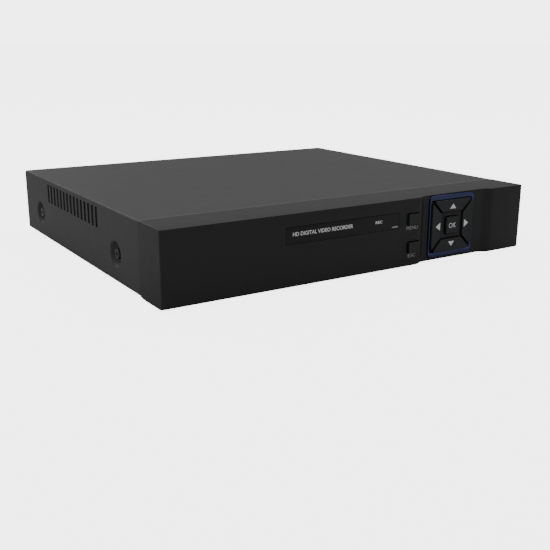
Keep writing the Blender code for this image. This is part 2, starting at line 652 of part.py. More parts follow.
def cables():
    low = MAIN_TOP + GAP
    front = DRIVE_Y[0] - GAP
    cable("sata_data_cable", "cable_red",
          [(37.0, front - 8, 8.0), (37.0, front - 14, 9.0), (50.0, front - 22, 14.0),
           (82.0, front - 20, 18.0), (106.0, front - 9, 20.0), (124.0, front + 16, 21.0),
           (130.0, 104.0, 19.0), (130.0, 116.0, low + 6)], 1.6,
          [box((30.0, 44.0), (front - 10, front), (4.6, 11.0)),
           box((125.0, 135.0), (113.5, 119.5), (low, low + 8))])
    cable("drive_power_cable", "cable_grey",
          [(62.0, front - 8, 8.0), (62.0, front - 13, 8.5), (76.0, front - 15, 9.0),
           (104.0, front - 12, 9.5), (122.0, front + 6, 10.0), (138.0, front + 24, 12.0),
           (145.0, 104.0, 14.5), (146.0, 113.0, low + 6)], 2.0,
          [box((51.0, 73.0), (front - 10, front), (4.6, 11.0)),
           box((139.0, 153.0), (110.0, 116.0), (low, low + 8))])


def front_ribbon():
    """A flat cable from the front board, through the pan's front wall, to the main board."""
    start = FRONT_BOARD_Y + BOARD_T + GAP
    low = MAIN_TOP + GAP
    top, bottom = [], []
    steps = 16
    for step in range(steps + 1):
        t = step / steps
        y = start + 4 + (113.0 - start - 4) * t
        z = 16.0 + (low + 4 - 16.0) * t * t * (3 - 2 * t)
        top.append((y, z + 0.45))
        bottom.append((y, z - 0.45))
    piece("front_ribbon", "cable_grey", [prism("x", top + bottom[::-1], (156.0, 176.0))],
          ("add", [box((155.0, 177.0), (start, start + 5), (12.5, 19.5)),
                   box((155.0, 177.0), (112.0, 117.0), (low, low + 7))]))


# ---------------------------------------------------------------- rear connectors

def bnc_stacks():
    """Two coaxial sockets on one block, four times."""
    for number, x in enumerate(BNC_X, 1):
        necks = [rod("y", (x, z), BNC_NECK_R, (SOCKET_Y - 1, CASE_D + 1.6), 16) for z in BNC_Z]
        barrels = [rod("y", (x, z), 4.8, (CASE_D + 1, CASE_D + BNC_REACH), 16) for z in BNC_Z]
        lugs = [rod("x", (CASE_D + 9.5, z), 1.0, (x - 5.6, x + 5.6), 8) for z in BNC_Z]
        bores = [rod("y", (x, z), 3.7, (CASE_D + 3.5, CASE_D + BNC_REACH + 1), 14) for z in BNC_Z]
        pins = [rod("y", (x, z), 1.1, (CASE_D + 3, CASE_D + 10), 8) for z in BNC_Z]
        piece(f"bnc_stack_{number}", "socket_nickel",
              [box((x - 7.2, x + 7.2), (208.0, SOCKET_Y), (PLUG_Z, 38.6))],
              ("add", necks), ("add", barrels), ("add", lugs), ("cut", bores), ("add", pins))


def audio_stack():
    necks = [rod("y", (AUDIO_X, z), AUDIO_NECK_R, (SOCKET_Y - 1, CASE_D + 1.2), 16) for z in AUDIO_Z]
    barrels = [rod("y", (AUDIO_X, z), 4.15, (CASE_D + 1, CASE_D + 9), 16) for z in AUDIO_Z]
    bores = [rod("y", (AUDIO_X, z), 1.7, (CASE_D + 1, CASE_D + 10), 10) for z in AUDIO_Z]
    piece("audio_stack", "socket_nickel",
          [box((AUDIO_X - 5.5, AUDIO_X + 5.5), (213.0, SOCKET_Y), (PLUG_Z, 33.5))],
          ("add", necks), ("add", barrels), ("cut", bores))


def monitor_stack():
    """A D-shaped 15-way socket above a flat digital socket."""
    body = box((MONITOR_X - 15.6, MONITOR_X + 15.6), (214.0, SOCKET_Y), (PLUG_Z, VGA_Z + 6.5))
    shell = [(MONITOR_X - 8.2, VGA_Z + 3.8), (MONITOR_X + 8.2, VGA_Z + 3.8),
             (MONITOR_X + 7.1, VGA_Z - 3.8), (MONITOR_X - 7.1, VGA_Z - 3.8)]
    posts = [rod("y", (MONITOR_X + s * 12.5, VGA_Z), 2.6, (SOCKET_Y - 1, CASE_D + 4.5), 6) for s in (-1, 1)]
    mouth = box((MONITOR_X - 7.7, MONITOR_X + 7.7), (SOCKET_Y - 1, CASE_D + 0.8), (HD_Z - 3.3, HD_Z + 3.3))
    throat = box((MONITOR_X - 7.0, MONITOR_X + 7.0), (218.0, CASE_D + 2), (HD_Z - 2.3, HD_Z + 2.3))
    tongue = box((MONITOR_X - 5.8, MONITOR_X + 5.8), (217.0, CASE_D - 1.0), (HD_Z - 0.6, HD_Z + 0.6))
    piece("monitor_stack", "socket_nickel", [body],
          ("add", [prism("y", shell, (SOCKET_Y - 1, CASE_D + 5.6))] + posts), ("add", [mouth]),
          ("cut", [throat]), ("add", [tongue]))


def network_stack():
    """A network socket above two flat bus sockets."""
    sides = (NETWORK_X - NETWORK_HALF, NETWORK_X + NETWORK_HALF)
    lan = box(LAN_SOCKET[0], (216.0, CASE_D + 2), LAN_SOCKET[1])
    latch = box((230.0, 236.0), (216.0, CASE_D + 2), (25.0, 27.0))
    flats = [box((NETWORK_X - 6.4, NETWORK_X + 6.4), (217.0, CASE_D + 2), (z - 2.4, z + 2.4)) for z in USB_Z]
    tongues = [box((NETWORK_X - 5.6, NETWORK_X + 5.6), (216.5, CASE_D - 0.6), (z + 0.1, z + 1.8))
               for z in USB_Z]
    piece("network_stack", "socket_nickel", [box(sides, (210.0, CASE_D + 0.6), NETWORK_Z)],
          ("cut", [lan] + flats), ("cut", [latch]), ("add", tongues))


def power_jack():
    piece("power_jack", "black_plastic",
          [box((POWER_X - 4.5, POWER_X + 4.5), (214.0, SOCKET_Y), (PLUG_Z, POWER_Z + 5.3))],
          ("add", [rod("y", (POWER_X, POWER_Z), 4.1, (SOCKET_Y - 1, CASE_D + 0.6), 16)]),
          ("cut", [rod("y", (POWER_X, POWER_Z), 3.2, (219.0, CASE_D + 2), 16)]),
          ("add", [rod("y", (POWER_X, POWER_Z), 1.0, (218.0, CASE_D - 1), 10)]))


def build():
    top_cover()
    base_pan()
    front_bezel()
    indicator_window()
    dpad_light_ring()
    for name in ARROWS:
        arrow_key(name)
    square_key("key_ok", (PAD_X, PAD_Z), OK_HALF, KEY_FACE, RECESS_DEPTH + FACE_WALL)
    for name, at in BUTTONS.items():
        wall_back = FACE_WALL + face_y(at[0] + BUTTON_HALF[0] + 1.0)
        square_key(name, at, BUTTON_HALF, -BUTTON_PROUD, wall_back)
    front_board()
    fasteners()
    feet()
    main_board()
    soc_heatsink()
    backup_battery()
    hard_drive()
    cables()
    front_ribbon()
    bnc_stacks()
    audio_stack()
    monitor_stack()
    network_stack()
    power_jack()


for old in list(bpy.data.objects):
    bpy.data.objects.remove(old)
PARTS = bpy.data.collections.new("video_recorder")
CUTTERS = bpy.data.collections.new("cutters")
bpy.context.scene.collection.children.link(PARTS)
bpy.context.scene.collection.children.link(CUTTERS)
MATERIALS = make_materials()
build()
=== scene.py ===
"""The looks of a compact video recorder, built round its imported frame.

Shapes are worked out in case millimetres: x runs across from the case's left side, y runs back from
the flat of the front face and z runs up from the underside of the case.  place() turns them into the
frame's metres.  Most surfaces are grids of points, computed as whole arrays.
"""
import json
import math

import bmesh
import bpy
import numpy as np
from mathutils import Matrix, Vector


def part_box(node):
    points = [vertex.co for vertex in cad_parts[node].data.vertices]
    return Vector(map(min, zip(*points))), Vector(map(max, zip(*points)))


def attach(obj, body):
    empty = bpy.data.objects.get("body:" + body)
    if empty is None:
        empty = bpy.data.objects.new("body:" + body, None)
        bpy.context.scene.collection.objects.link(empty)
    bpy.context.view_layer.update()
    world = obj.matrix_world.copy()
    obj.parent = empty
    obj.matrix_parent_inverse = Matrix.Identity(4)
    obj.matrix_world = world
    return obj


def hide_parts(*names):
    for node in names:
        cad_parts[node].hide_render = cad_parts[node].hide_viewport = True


MM = 0.001
TOUCH = 0.001

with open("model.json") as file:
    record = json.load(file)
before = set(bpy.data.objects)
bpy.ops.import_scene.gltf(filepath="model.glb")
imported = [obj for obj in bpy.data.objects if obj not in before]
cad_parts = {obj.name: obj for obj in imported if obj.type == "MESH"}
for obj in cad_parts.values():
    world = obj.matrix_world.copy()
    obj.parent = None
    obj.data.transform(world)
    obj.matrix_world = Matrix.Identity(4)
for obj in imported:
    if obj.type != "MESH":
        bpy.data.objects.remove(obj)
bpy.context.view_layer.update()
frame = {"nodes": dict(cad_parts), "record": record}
ZERO = np.array((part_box("top_cover")[0].x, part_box("front_bezel")[0].y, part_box("top_cover")[0].z))


def place(points):
    """Case millimetres to the frame's metres."""
    return np.asarray(points, float) * MM + ZERO


def span(node):
    """A frame node's low and high corner in case millimetres."""
    low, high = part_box(node)
    return (np.array(low) - ZERO) / MM, (np.array(high) - ZERO) / MM


def footprint(node, axis="y"):
    """A frame node's centre and half size in case millimetres, seen along an axis."""
    low, high = span(node)
    flat = [number for number, name in enumerate("xyz") if name != axis]
    return (low[flat] + high[flat]) / 2, (high[flat] - low[flat]) / 2


# Driving sizes, taken from the frame where it has them
COVER_FRONT = span("top_cover")[0][1]
CASE_W, CASE_D, CASE_H = span("top_cover")[1]
BEZEL_BOTTOM = span("front_bezel")[0][2]
WINDOW_Y = [corner[1] for corner in span("indicator_window")]
SHEET = 1.0
GAP = 0.3
SEAM = 0.1
BEZEL_D = COVER_FRONT - SEAM
BEZEL_WALL = 1.8
FACE_WALL = 2.4
FOLD_R = 1.5
LIP_W = 3.8
CORNER_R = 1.5
SIDE_EASE = 0.6
TOP_EASE = 0.5
SKIRT = (4.0, 1.4)
REAR_RISE = (4.5, 0.7)
RECESS_DEPTH = 3.0
RECESS_LEFT = (170.0, 178.0)
RECESS_RIGHT = (226.0, 233.5)
RIM = 0.25

(PAD_X, PAD_Z), RING_HALF = footprint("dpad_light_ring")
RING_FRONT = span("dpad_light_ring")[0][1]
GROOVE_FLOOR = 4.3
PAD_HALF = np.array((17.0, 16.2))
PAD_INNER = np.array((9.1, 8.5))
RING_BORE = PAD_HALF + 0.35
PAD_SPLIT = 1.0
OK_HALF = np.array((5.0, 5.3))
OK_FRAME_FRONT = 2.5
KEY_FACE = span("key_ok")[0][1]
KEY_BACK = 6.8
BUTTON_HALF = np.array((4.5, 3.3))
MARK_OUT = 12.0
ARROWS = {"key_up": (0, 1), "key_down": (0, -1), "key_left": (-1, 0), "key_right": (1, 0)}

VENT_COUNT = 15
VENT_FIRST_Y = 88.3
VENT_PITCH = 6.37
VENT_W = 3.1
VENT_Z = (26.3, 38.6)
DIMPLE_R = (5.6, 7.9)
DIMPLE_DEPTH = 2.8
HEAD_R = 3.2
HEAD_T = 1.9

COAXIAL_Z = (16.0, 31.0)
AUDIO_Z = (14.5, 27.5)
REACH_IN = 1.3

MOTTLE_SCALE = 30.0
SHEEN_SCALE = 140.0
# Width and depth of the painted highlight along the cover's front top edge
EDGE_HIGHLIGHT_W = 1.0
EDGE_HIGHLIGHT_H = 0.6


# ---- mesh making

def grid_quads(rows, cols, wrap_rows=False, wrap_cols=False):
    """Corner numbers of the quads between neighbouring rows and columns of a point grid."""
    row = np.arange(rows if wrap_rows else rows - 1)[:, None]
    col = np.arange(cols if wrap_cols else cols - 1)[None, :]
    next_row = (row + 1) % rows
    next_col = (col + 1) % cols
    return joined(row * cols + col, row * cols + next_col, next_row * cols + next_col, next_row * cols + col)


def joined(*parts):
    """Coordinates spread to one shape and joined into points."""
    return np.stack(np.broadcast_arrays(*parts), -1)


def add_object(name, data):
    """A new object for a mesh, words, a light or a camera, in the scene."""
    obj = bpy.data.objects.new(name, data)
    bpy.context.scene.collection.objects.link(obj)
    return obj


def sheet(points, keep=None, wrap_rows=False, wrap_cols=False, cap_first=False, cap_last=False):
    """A patch: the grid's points and faces, with cells left out where keep is false."""
    rows, cols = points.shape[:2]
    quads = grid_quads(rows, cols, wrap_rows, wrap_cols)
    quads = quads.reshape(-1, 4) if keep is None else quads[keep]
    faces = quads.tolist()
    if cap_first:
        faces.append(list(range(cols))[::-1])
    if cap_last:
        faces.append(list(range((rows - 1) * cols, rows * cols)))
    return points.reshape(-1, 3), faces


def solid(loops, cap_first=True, cap_last=True):
    """A closed skin through a stack of loops, capped at both ends."""
    return sheet(np.asarray(loops, float), wrap_cols=True, cap_first=cap_first, cap_last=cap_last)


def torus(loops):
    """A closed skin through a stack of loops whose last joins its first."""
    return sheet(np.asarray(loops, float), wrap_cols=True, wrap_rows=True)


def build(name, patches, material, crease, outward):
    """One mesh object from patches in case millimetres, with its seams merged."""
    points, faces, start = [], [], 0
    for patch_points, patch_faces in patches:
        points.append(place(patch_points))
        faces += [[start + corner for corner in face] for face in patch_faces]
        start += len(patch_points)
    mesh = bpy.data.meshes.new(name)
    mesh.from_pydata(np.concatenate(points).tolist(), [], faces)
    bm = bmesh.new()
    bm.from_mesh(mesh)
    bmesh.ops.remove_doubles(bm, verts=bm.verts, dist=0.000002)
    bmesh.ops.dissolve_degenerate(bm, edges=bm.edges, dist=0.000001)
    if outward:
        bmesh.ops.recalc_face_normals(bm, faces=bm.faces)
    bm.to_mesh(mesh)
    bm.free()
    mesh.shade_smooth()
    mesh.set_sharp_from_angle(angle=math.radians(crease))
    mesh.materials.append(material)
    return add_object(name, mesh)


def piece(name, patches, material, body="case", crease=35.0, outward=True):
    """Builds a piece that rides on a body, with its finish in a slot.

    A piece with the name of a frame node stands for that node.
    """
    obj = build(name, patches, material, crease, outward)
    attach(obj, body)
    if name in frame["nodes"]:
        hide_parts(name)
    return obj


def turn_to(axis, across, along, height):
    """Puts flat coordinates and a height along an axis into x, y, z order."""
    order = {"x": (height, across, along), "y": (across, height, along), "z": (across, along, height)}
    return joined(*order[axis])


def lay(outline, height, axis="y"):
    """A flat outline set at a height along an axis."""
    return turn_to(axis, outline[:, 0], outline[:, 1], height)


def unit(vectors):
    """Rows of coordinates shortened or lengthened to 1."""
    return vectors / np.linalg.norm(vectors, axis=1, keepdims=True)


def rounded_outline(corners, radius, steps=6):
    """A convex outline with each corner replaced by an arc that touches both of its sides."""
    corners = np.asarray(corners, float)
    before = unit(np.roll(corners, 1, 0) - corners)
    after = unit(np.roll(corners, -1, 0) - corners)
    half_angle = np.arccos(np.clip((before * after).sum(1), -1, 1)) / 2
    centres = corners + unit(before + after) * (radius / np.sin(half_angle))[:, None]
    reach = (radius / np.tan(half_angle))[:, None]
    start = corners + before * reach - centres
    end = corners + after * reach - centres
    start_angle = np.arctan2(start[:, 1], start[:, 0])
    sweep = np.arctan2(end[:, 1], end[:, 0]) - start_angle
    sweep = (sweep + np.pi) % (2 * np.pi) - np.pi
    angle = start_angle[:, None] + sweep[:, None] * np.linspace(0, 1, steps + 1)
    ring = centres[:, None] + radius * joined(np.cos(angle), np.sin(angle))
    return ring.reshape(-1, 2)


def inset(corners, amount):
    """Moves every side of a convex anticlockwise outline inwards by the same amount."""
    corners = np.asarray(corners, float)
    side = unit(np.roll(corners, -1, 0) - corners)
    inward = joined(-side[:, 1], side[:, 0])
    earlier = np.roll(inward, 1, 0)
    meet = (inward + earlier) / (1 + (inward * earlier).sum(1))[:, None]
    return corners + meet * amount


def rectangle(centre, half):
    """A rectangle's corners, anticlockwise from the lowest."""
    signs = np.array(((-1, -1), (1, -1), (1, 1), (-1, 1)), float)
    return np.asarray(centre, float) + signs * np.asarray(half, float)


def quarter(radius, steps=4):
    """Inset and drop along a quarter round, from the flat to the side."""
    angle = np.linspace(0, np.pi / 2, steps + 1)
    return radius * (1 - np.sin(angle)), radius * (1 - np.cos(angle))


def slab(corners, corner_r, near, far, ease=0.3, axis="y", far_ease=0.0, steps=6):
    """An outline pushed along an axis, with its near edge and, if asked, its far edge rounded over."""
    towards = 1.0 if far > near else -1.0
    shrink, drop = quarter(ease)
    levels = [(s, near + towards * d) for s, d in zip(shrink, drop)]
    if far_ease:
        shrink, drop = quarter(far_ease)
        levels += [(s, far - towards * d) for s, d in zip(shrink[::-1], drop[::-1])]
    else:
        levels.append((0.0, far))
    loops = []
    for amount, height in levels:
        ring = rounded_outline(inset(corners, amount), max(corner_r - amount, 0.03), steps)
        loops.append(lay(ring, height, axis))
    return solid(loops)


def turned(profile, centre, axis="y", sides=48, base=0.0):
    """A profile of (radius, height above base) pairs turned about an axis; a radius of 0 closes it."""
    profile = np.asarray(profile, float)
    angle = np.linspace(0, 2 * np.pi, sides, endpoint=False)
    radius, height = profile[:, :1], base + profile[:, 1:]
    across = centre[0] + radius * np.cos(angle)
    along = centre[1] + radius * np.sin(angle)
    return sheet(turn_to(axis, across, along, height + 0 * angle), wrap_cols=True)


def framed(centre, outer, outer_r, bore, bore_r, front, back, ease):
    """A rectangular ring: its section runs up the outside, over the rounded front and down the bore."""
    shrink, drop = quarter(ease)
    outer, bore = np.array(outer), np.array(bore)
    levels = [(outer, outer_r, back)]
    levels += [(outer - s, outer_r - s, front + d) for s, d in zip(shrink[::-1], drop[::-1])]
    levels += [(bore + s, bore_r + s, front + d) for s, d in zip(shrink, drop)]
    levels.append((bore, bore_r, back))
    return torus([lay(rounded_outline(rectangle(centre, half), max(radius, 0.03)), height)
                  for half, radius, height in levels])


def lettering(words, centre, height, width=None, face="front", depth=0.03, weight=0.0):
    """Printed words as a thin raised mesh patch, centred on a point of a face."""
    curve = bpy.data.curves.new("words", "FONT")
    curve.body = words
    curve.align_x = "CENTER"
    curve.align_y = "CENTER"
    curve.resolution_u = 3
    curve.extrude = 0.02
    curve.offset = weight
    holder = add_object("words", curve)
    bpy.context.view_layer.update()
    mesh = bpy.data.meshes.new_from_object(holder.evaluated_get(bpy.context.evaluated_depsgraph_get()))
    bpy.data.objects.remove(holder)
    bpy.data.curves.remove(curve)
    points = np.empty(len(mesh.vertices) * 3)
    mesh.vertices.foreach_get("co", points)
    points = points.reshape(-1, 3)
    faces = [list(polygon.vertices) for polygon in mesh.polygons]
    bpy.data.meshes.remove(mesh)
    low, high = points.min(0), points.max(0)
    flat = points[:, :2] - (low[:2] + high[:2]) / 2
    grow_y = height / (high[1] - low[1])
    grow_x = grow_y if width is None else width / (high[0] - low[0])
    across, up = flat[:, 0] * grow_x, flat[:, 1] * grow_y
    rise = np.sign(points[:, 2]) * depth / 2
    way = 1 if face == "front" else -1
    x, y, z = centre
    return joined(x + way * across, y - way * rise, z + up), faces


# ---- finishes

def effect(name, inputs, outputs):
    """A node group shared by several finishes, with its (kind, label) sockets."""
    group = bpy.data.node_groups.new(name, "ShaderNodeTree")
    for way, sockets in (("INPUT", inputs), ("OUTPUT", outputs)):
        for kind, label in sockets:
            group.interface.new_socket(label, in_out=way, socket_type="NodeSocket" + kind)
    return group, group.nodes.new("NodeGroupInput"), group.nodes.new("NodeGroupOutput")


def feed(tree, node, inputs):
    """Feeds a node's inputs with plain values or with other nodes' outputs."""
    for label, value in inputs.items():
        if isinstance(value, bpy.types.NodeSocket):
            tree.links.new(value, node.inputs[label])
        else:
            node.inputs[label].default_value = value
    return node


def add(tree, kind, inputs):
    """A new shader node with its inputs fed."""
    return feed(tree, tree.nodes.new("ShaderNode" + kind), inputs)


def use(tree, group, inputs):
    """A new instance of a shared effect with its inputs fed."""
    node = tree.nodes.new("ShaderNodeGroup")
    node.node_tree = group
    return feed(tree, node, inputs)


def maths(tree, operation, first, second=0.0, clamp=False):
    """The result of a sum on one or two values."""
    node = add(tree, "Math", {0: first, 1: second})
    node.operation = operation
    node.use_clamp = clamp
    return node.outputs["Value"]


def noise(tree, position, scale, detail=2.0):
    """A cloudy value about 0.5."""
    return add(tree, "TexNoise", {"Vector": position, "Scale": scale, "Detail": detail}).outputs["Fac"]


def rescale(tree, value, start, end, low=0.0, high=1.0):
    """A value's run from start to end carried onto low to high, and held there beyond it."""
    return add(tree, "MapRange", {"Value": value, "From Min": start, "From Max": end,
                                  "To Min": low, "To Max": high}).outputs["Result"]


def blend(tree, amount, colour, other):
    """A colour taken part of the way to another."""
    node = tree.nodes.new("ShaderNodeMix")
    node.data_type = "RGBA"
    return feed(tree, node, {0: amount, 6: colour, 7: (*other, 1.0)}).outputs[2]


def two_tone(tree, value, dark, light, start=0.0, end=1.0):
    """A colour that runs from dark to light as the value runs from start to end."""
    ramp = add(tree, "ValToRGB", {"Fac": value})
    for stop, spot, colour in zip(ramp.color_ramp.elements, (start, end), (dark, light)):
        stop.position = spot
        stop.color = (*colour, 1.0)
    return ramp.outputs["Color"]


def make_grain():
    """Fine grain for bump, a slow mottle for colour and a middling one for gloss."""
    group, given, result = effect("fine grain", [("Vector", "Position"), ("Float", "Grain Scale")],
                                  [("Float", "Grain"), ("Float", "Mottle"), ("Float", "Sheen Patches")])
    position = given.outputs["Position"]
    feed(group, result, {"Grain": noise(group, position, given.outputs["Grain Scale"], 3.0),
                         "Mottle": noise(group, position, MOTTLE_SCALE, 4.0),
                         "Sheen Patches": noise(group, position, SHEEN_SCALE, 5.0)})
    return group


def make_dust():
    """A faint settled haze on faces that look up, thinner where a noise clears it."""
    group, given, result = effect("settled haze",
                                  [("Vector", "Position"), ("Color", "Colour"), ("Float", "Amount")],
                                  [("Color", "Colour")])
    facing = group.nodes.new("ShaderNodeNewGeometry")
    upward = add(group, "SeparateXYZ", {"Vector": facing.outputs["Normal"]}).outputs["Z"]
    cloud = noise(group, given.outputs["Position"], 60.0, 6.0)
    settled = maths(group, "MULTIPLY", upward, cloud, clamp=True)
    amount = maths(group, "MULTIPLY", settled, given.outputs["Amount"])
    feed(group, result, {"Colour": blend(group, amount, given.outputs["Colour"], (0.42, 0.41, 0.39))})
    return group


def start_finish(name):
    """A new material with its node tree, its shader and the object coordinates."""
    material = bpy.data.materials.new(name)
    material.use_nodes = True
    tree = material.node_tree
    where = tree.nodes.new("ShaderNodeTexCoord")
    return material, tree, tree.nodes["Principled BSDF"], where.outputs["Object"]


def grained(name, dark, light, rough, grain_scale, relief, depth=0.00003, metallic=0.0, specular=0.5,
            haze=0.0, coat=0.0, glow=0.0, edge_highlight_at=None):
    """A finish with mottled colour between two tones, patchy gloss and a fine grain in relief."""
    material, tree, shader, position = start_finish(name)
    grain = use(tree, GRAIN, {"Position": position, "Grain Scale": grain_scale}).outputs
    colour = two_tone(tree, grain["Mottle"], dark, light, 0.3, 0.7)
    if haze:
        colour = use(tree, DUST, {"Amount": haze, "Position": position, "Colour": colour}).outputs["Colour"]
    # If asked, a painted highlight along one edge of the top face
    if edge_highlight_at is not None:
        colour = rubbed_edge(tree, position, colour, grain["Sheen Patches"], edge_highlight_at)
    gloss = rescale(tree, grain["Sheen Patches"], 0.3, 0.7, *rough)
    bump = add(tree, "Bump", {"Strength": relief, "Distance": depth, "Height": grain["Grain"]})
    feed(tree, shader, {"Base Color": colour, "Roughness": gloss, "Normal": bump.outputs["Normal"],
                        "Metallic": metallic, "Specular IOR Level": specular, "Coat Weight": coat,
                        "Coat Roughness": 0.1})
    # glow adds emission in the surface's own colour: painted brightness
    if glow:
        feed(tree, shader, {"Emission Color": colour, "Emission Strength": glow})
    return material


def rubbed_edge(tree, position, colour, highlight_patchiness, edge_y):
    """Paints a highlight along an edge: lightens the colour of the top face in a band of set width behind an
    edge at edge_y, unevenly.
    """
    parts = add(tree, "SeparateXYZ", {"Vector": position}).outputs
    near = rescale(tree, parts["Y"], edge_y, edge_y + EDGE_HIGHLIGHT_W * MM, 1.0, 0.0)
    on_top = maths(tree, "GREATER_THAN", parts["Z"], place((0.0, 0.0, CASE_H - EDGE_HIGHLIGHT_H))[2])
    amount = maths(tree, "MULTIPLY", maths(tree, "MULTIPLY", near, highlight_patchiness), on_top)
    return blend(tree, amount, colour, (0.34, 0.34, 0.35))


def blue_light_guide():
    """Clear blue acrylic with a faint glow, brighter in its top and bottom bars, with a painted highlight
    along its bore.
    """
    material, tree, shader, position = start_finish("blue light guide")
    parts = add(tree, "SeparateXYZ", {"Vector": position}).outputs
    middle = place((PAD_X, 0.0, PAD_Z))
    width = maths(tree, "ABSOLUTE", maths(tree, "SUBTRACT", parts["X"], middle[0]))
    height = maths(tree, "ABSOLUTE", maths(tree, "SUBTRACT", parts["Z"], middle[2]))
    reach = rescale(tree, height, PAD_HALF[1] * 0.55 * MM, (RING_HALF[1] - 1.0) * MM)
    lit = maths(tree, "MULTIPLY", reach, noise(tree, position, 160.0))
    tone = two_tone(tree, lit, (0.006, 0.011, 0.045), (0.011, 0.022, 0.14), 0.0, 0.6)
    # Painted highlight: a lighter blue line along the inner edge of the bore
    past_bore = maths(tree, "MAXIMUM", maths(tree, "SUBTRACT", width, RING_BORE[0] * MM),
                      maths(tree, "SUBTRACT", height, RING_BORE[1] * MM))
    lip = rescale(tree, past_bore, 0.25 * MM, 0.75 * MM, 0.8, 0.0)
    colour = blend(tree, lip, tone, (0.07, 0.11, 0.28))
    feed(tree, shader, {"Base Color": colour, "Emission Color": colour, "Emission Strength": 0.04,
                        "Roughness": 0.22, "Coat Weight": 0.4, "Coat Roughness": 0.06})
    return material


def circuit_board():
    """Green solder mask over a lattice of copper tracks that show as lighter lines."""
    material, tree, shader, position = start_finish("solder mask")
    tracks = add(tree, "TexBrick", {"Vector": position, "Scale": 260.0, "Mortar Size": 0.04,
                                    "Color1": (0.012, 0.075, 0.028, 1.0), "Color2": (0.016, 0.09, 0.034, 1.0),
                                    "Mortar": (0.04, 0.17, 0.06, 1.0)})
    bump = add(tree, "Bump", {"Strength": 0.2, "Distance": 0.00003, "Height": tracks.outputs["Fac"]})
    feed(tree, shader, {"Base Color": tracks.outputs["Color"], "Normal": bump.outputs["Normal"],
                        "Roughness": 0.35})
    return material


GRAIN = make_grain()
DUST = make_dust()
METAL = {"metallic": 1.0}
COAT = ((0.0620, 0.0612, 0.0635), (0.0650, 0.0642, 0.0665), (0.49, 0.52), 2600.0, 0.16, 0.00003)
POWDER_COAT = grained("satin powder coat", *COAT, specular=0.42, haze=0.012)
# The cover's coat carries a painted highlight along its front top edge
COVER_COAT = grained("cover powder coat", *COAT, specular=0.42, haze=0.012,
                     edge_highlight_at=place((0.0, COVER_FRONT, 0.0))[1])
MOULDING = grained("moulded bezel", (0.0212, 0.0204, 0.0236), (0.0230, 0.0222, 0.0254), (0.37, 0.40),
                   5200.0, 0.10, 0.00002, specular=0.4, haze=0.01)
KEYCAP = grained("satin keycap", (0.017, 0.018, 0.021), (0.020, 0.021, 0.024), (0.28, 0.34),
                 6000.0, 0.05, 0.00001)
SMOKED = grained("smoked acrylic", (0.0090, 0.0090, 0.0100), (0.0100, 0.0100, 0.0110), (0.28, 0.32),
                 900.0, 0.01, 0.00001, specular=0.4)
# The white print gets a faint glow: painted brightness on print that gives off no light of its own
PRINT = grained("white print", (0.72, 0.72, 0.74), (0.84, 0.84, 0.86), (0.5, 0.6), 4000.0, 0.1, 0.00001,
                glow=0.15)
FAINT_PRINT = grained("grey print", (0.52, 0.52, 0.53), (0.62, 0.62, 0.63), (0.5, 0.6), 4000.0, 0.1,
                      0.00001)
NYLON = grained("black nylon", (0.015, 0.015, 0.016), (0.022, 0.022, 0.023), (0.45, 0.6), 3000.0, 0.15)
LAMP = grained("clear lamp", (0.30, 0.34, 0.38), (0.38, 0.42, 0.46), (0.1, 0.16), 1500.0, 0.02, coat=0.5)
RUBBER = grained("black rubber", (0.012, 0.012, 0.012), (0.020, 0.020, 0.020), (0.75, 0.9), 1800.0, 0.3)
BLACK_STEEL = grained("black oxide steel", (0.06, 0.06, 0.063), (0.10, 0.10, 0.105), (0.18, 0.28),
                      2200.0, 0.1, **METAL)
ZINC = grained("zinc plate", (0.30, 0.30, 0.31), (0.42, 0.42, 0.43), (0.28, 0.4), 2200.0, 0.1, **METAL)
CASTING = grained("cast aluminium", (0.40, 0.40, 0.41), (0.52, 0.52, 0.53), (0.38, 0.5), 1400.0, 0.35,
                  **METAL)
NICKEL = grained("bright nickel", (0.50, 0.48, 0.44), (0.60, 0.58, 0.54), (0.18, 0.28), 2600.0, 0.05,
                 **METAL)
GOLD = grained("gold contact", (0.70, 0.48, 0.18), (0.80, 0.56, 0.24), (0.2, 0.3), 2600.0, 0.05, **METAL)
INSULATOR = grained("white insulator", (0.60, 0.60, 0.57), (0.70, 0.70, 0.67), (0.4, 0.5), 2600.0, 0.08)
RED_PVC = grained("red cable jacket", (0.25, 0.012, 0.012), (0.33, 0.02, 0.02), (0.4, 0.5), 1500.0, 0.1)
GREY_PVC = grained("grey cable jacket", (0.20, 0.20, 0.20), (0.28, 0.28, 0.28), (0.45, 0.55), 1500.0, 0.1)
BLUE_GUIDE = blue_light_guide()
BOARD = circuit_board()


# ---- steel case

def fine_lines(*stretches):
    """Grid lines from (start, end, count) stretches, sorted, with near doubles dropped."""
    lines = np.concatenate([np.linspace(start, end, count) for start, end, count in stretches])
    lines = np.unique(np.round(lines, 4))
    return lines[np.concatenate(([True], np.diff(lines) > 0.01))]


def middles(lines):
    """The points half way between neighbouring grid lines."""
    return (lines[1:] + lines[:-1]) / 2


def bend(centre, radius, start, end, steps):
    """Points along an arc between two angles in degrees."""
    angle = np.radians(np.linspace(start, end, steps + 1))
    return joined(centre[0] + radius * np.cos(angle), centre[1] + radius * np.sin(angle))


def dimple_spots():
    """Centres of the two dimples of a side wall, from the screws that sit in them."""
    return [footprint(f"cover_screw_left_{number}", "x")[0] for number in (1, 2)]


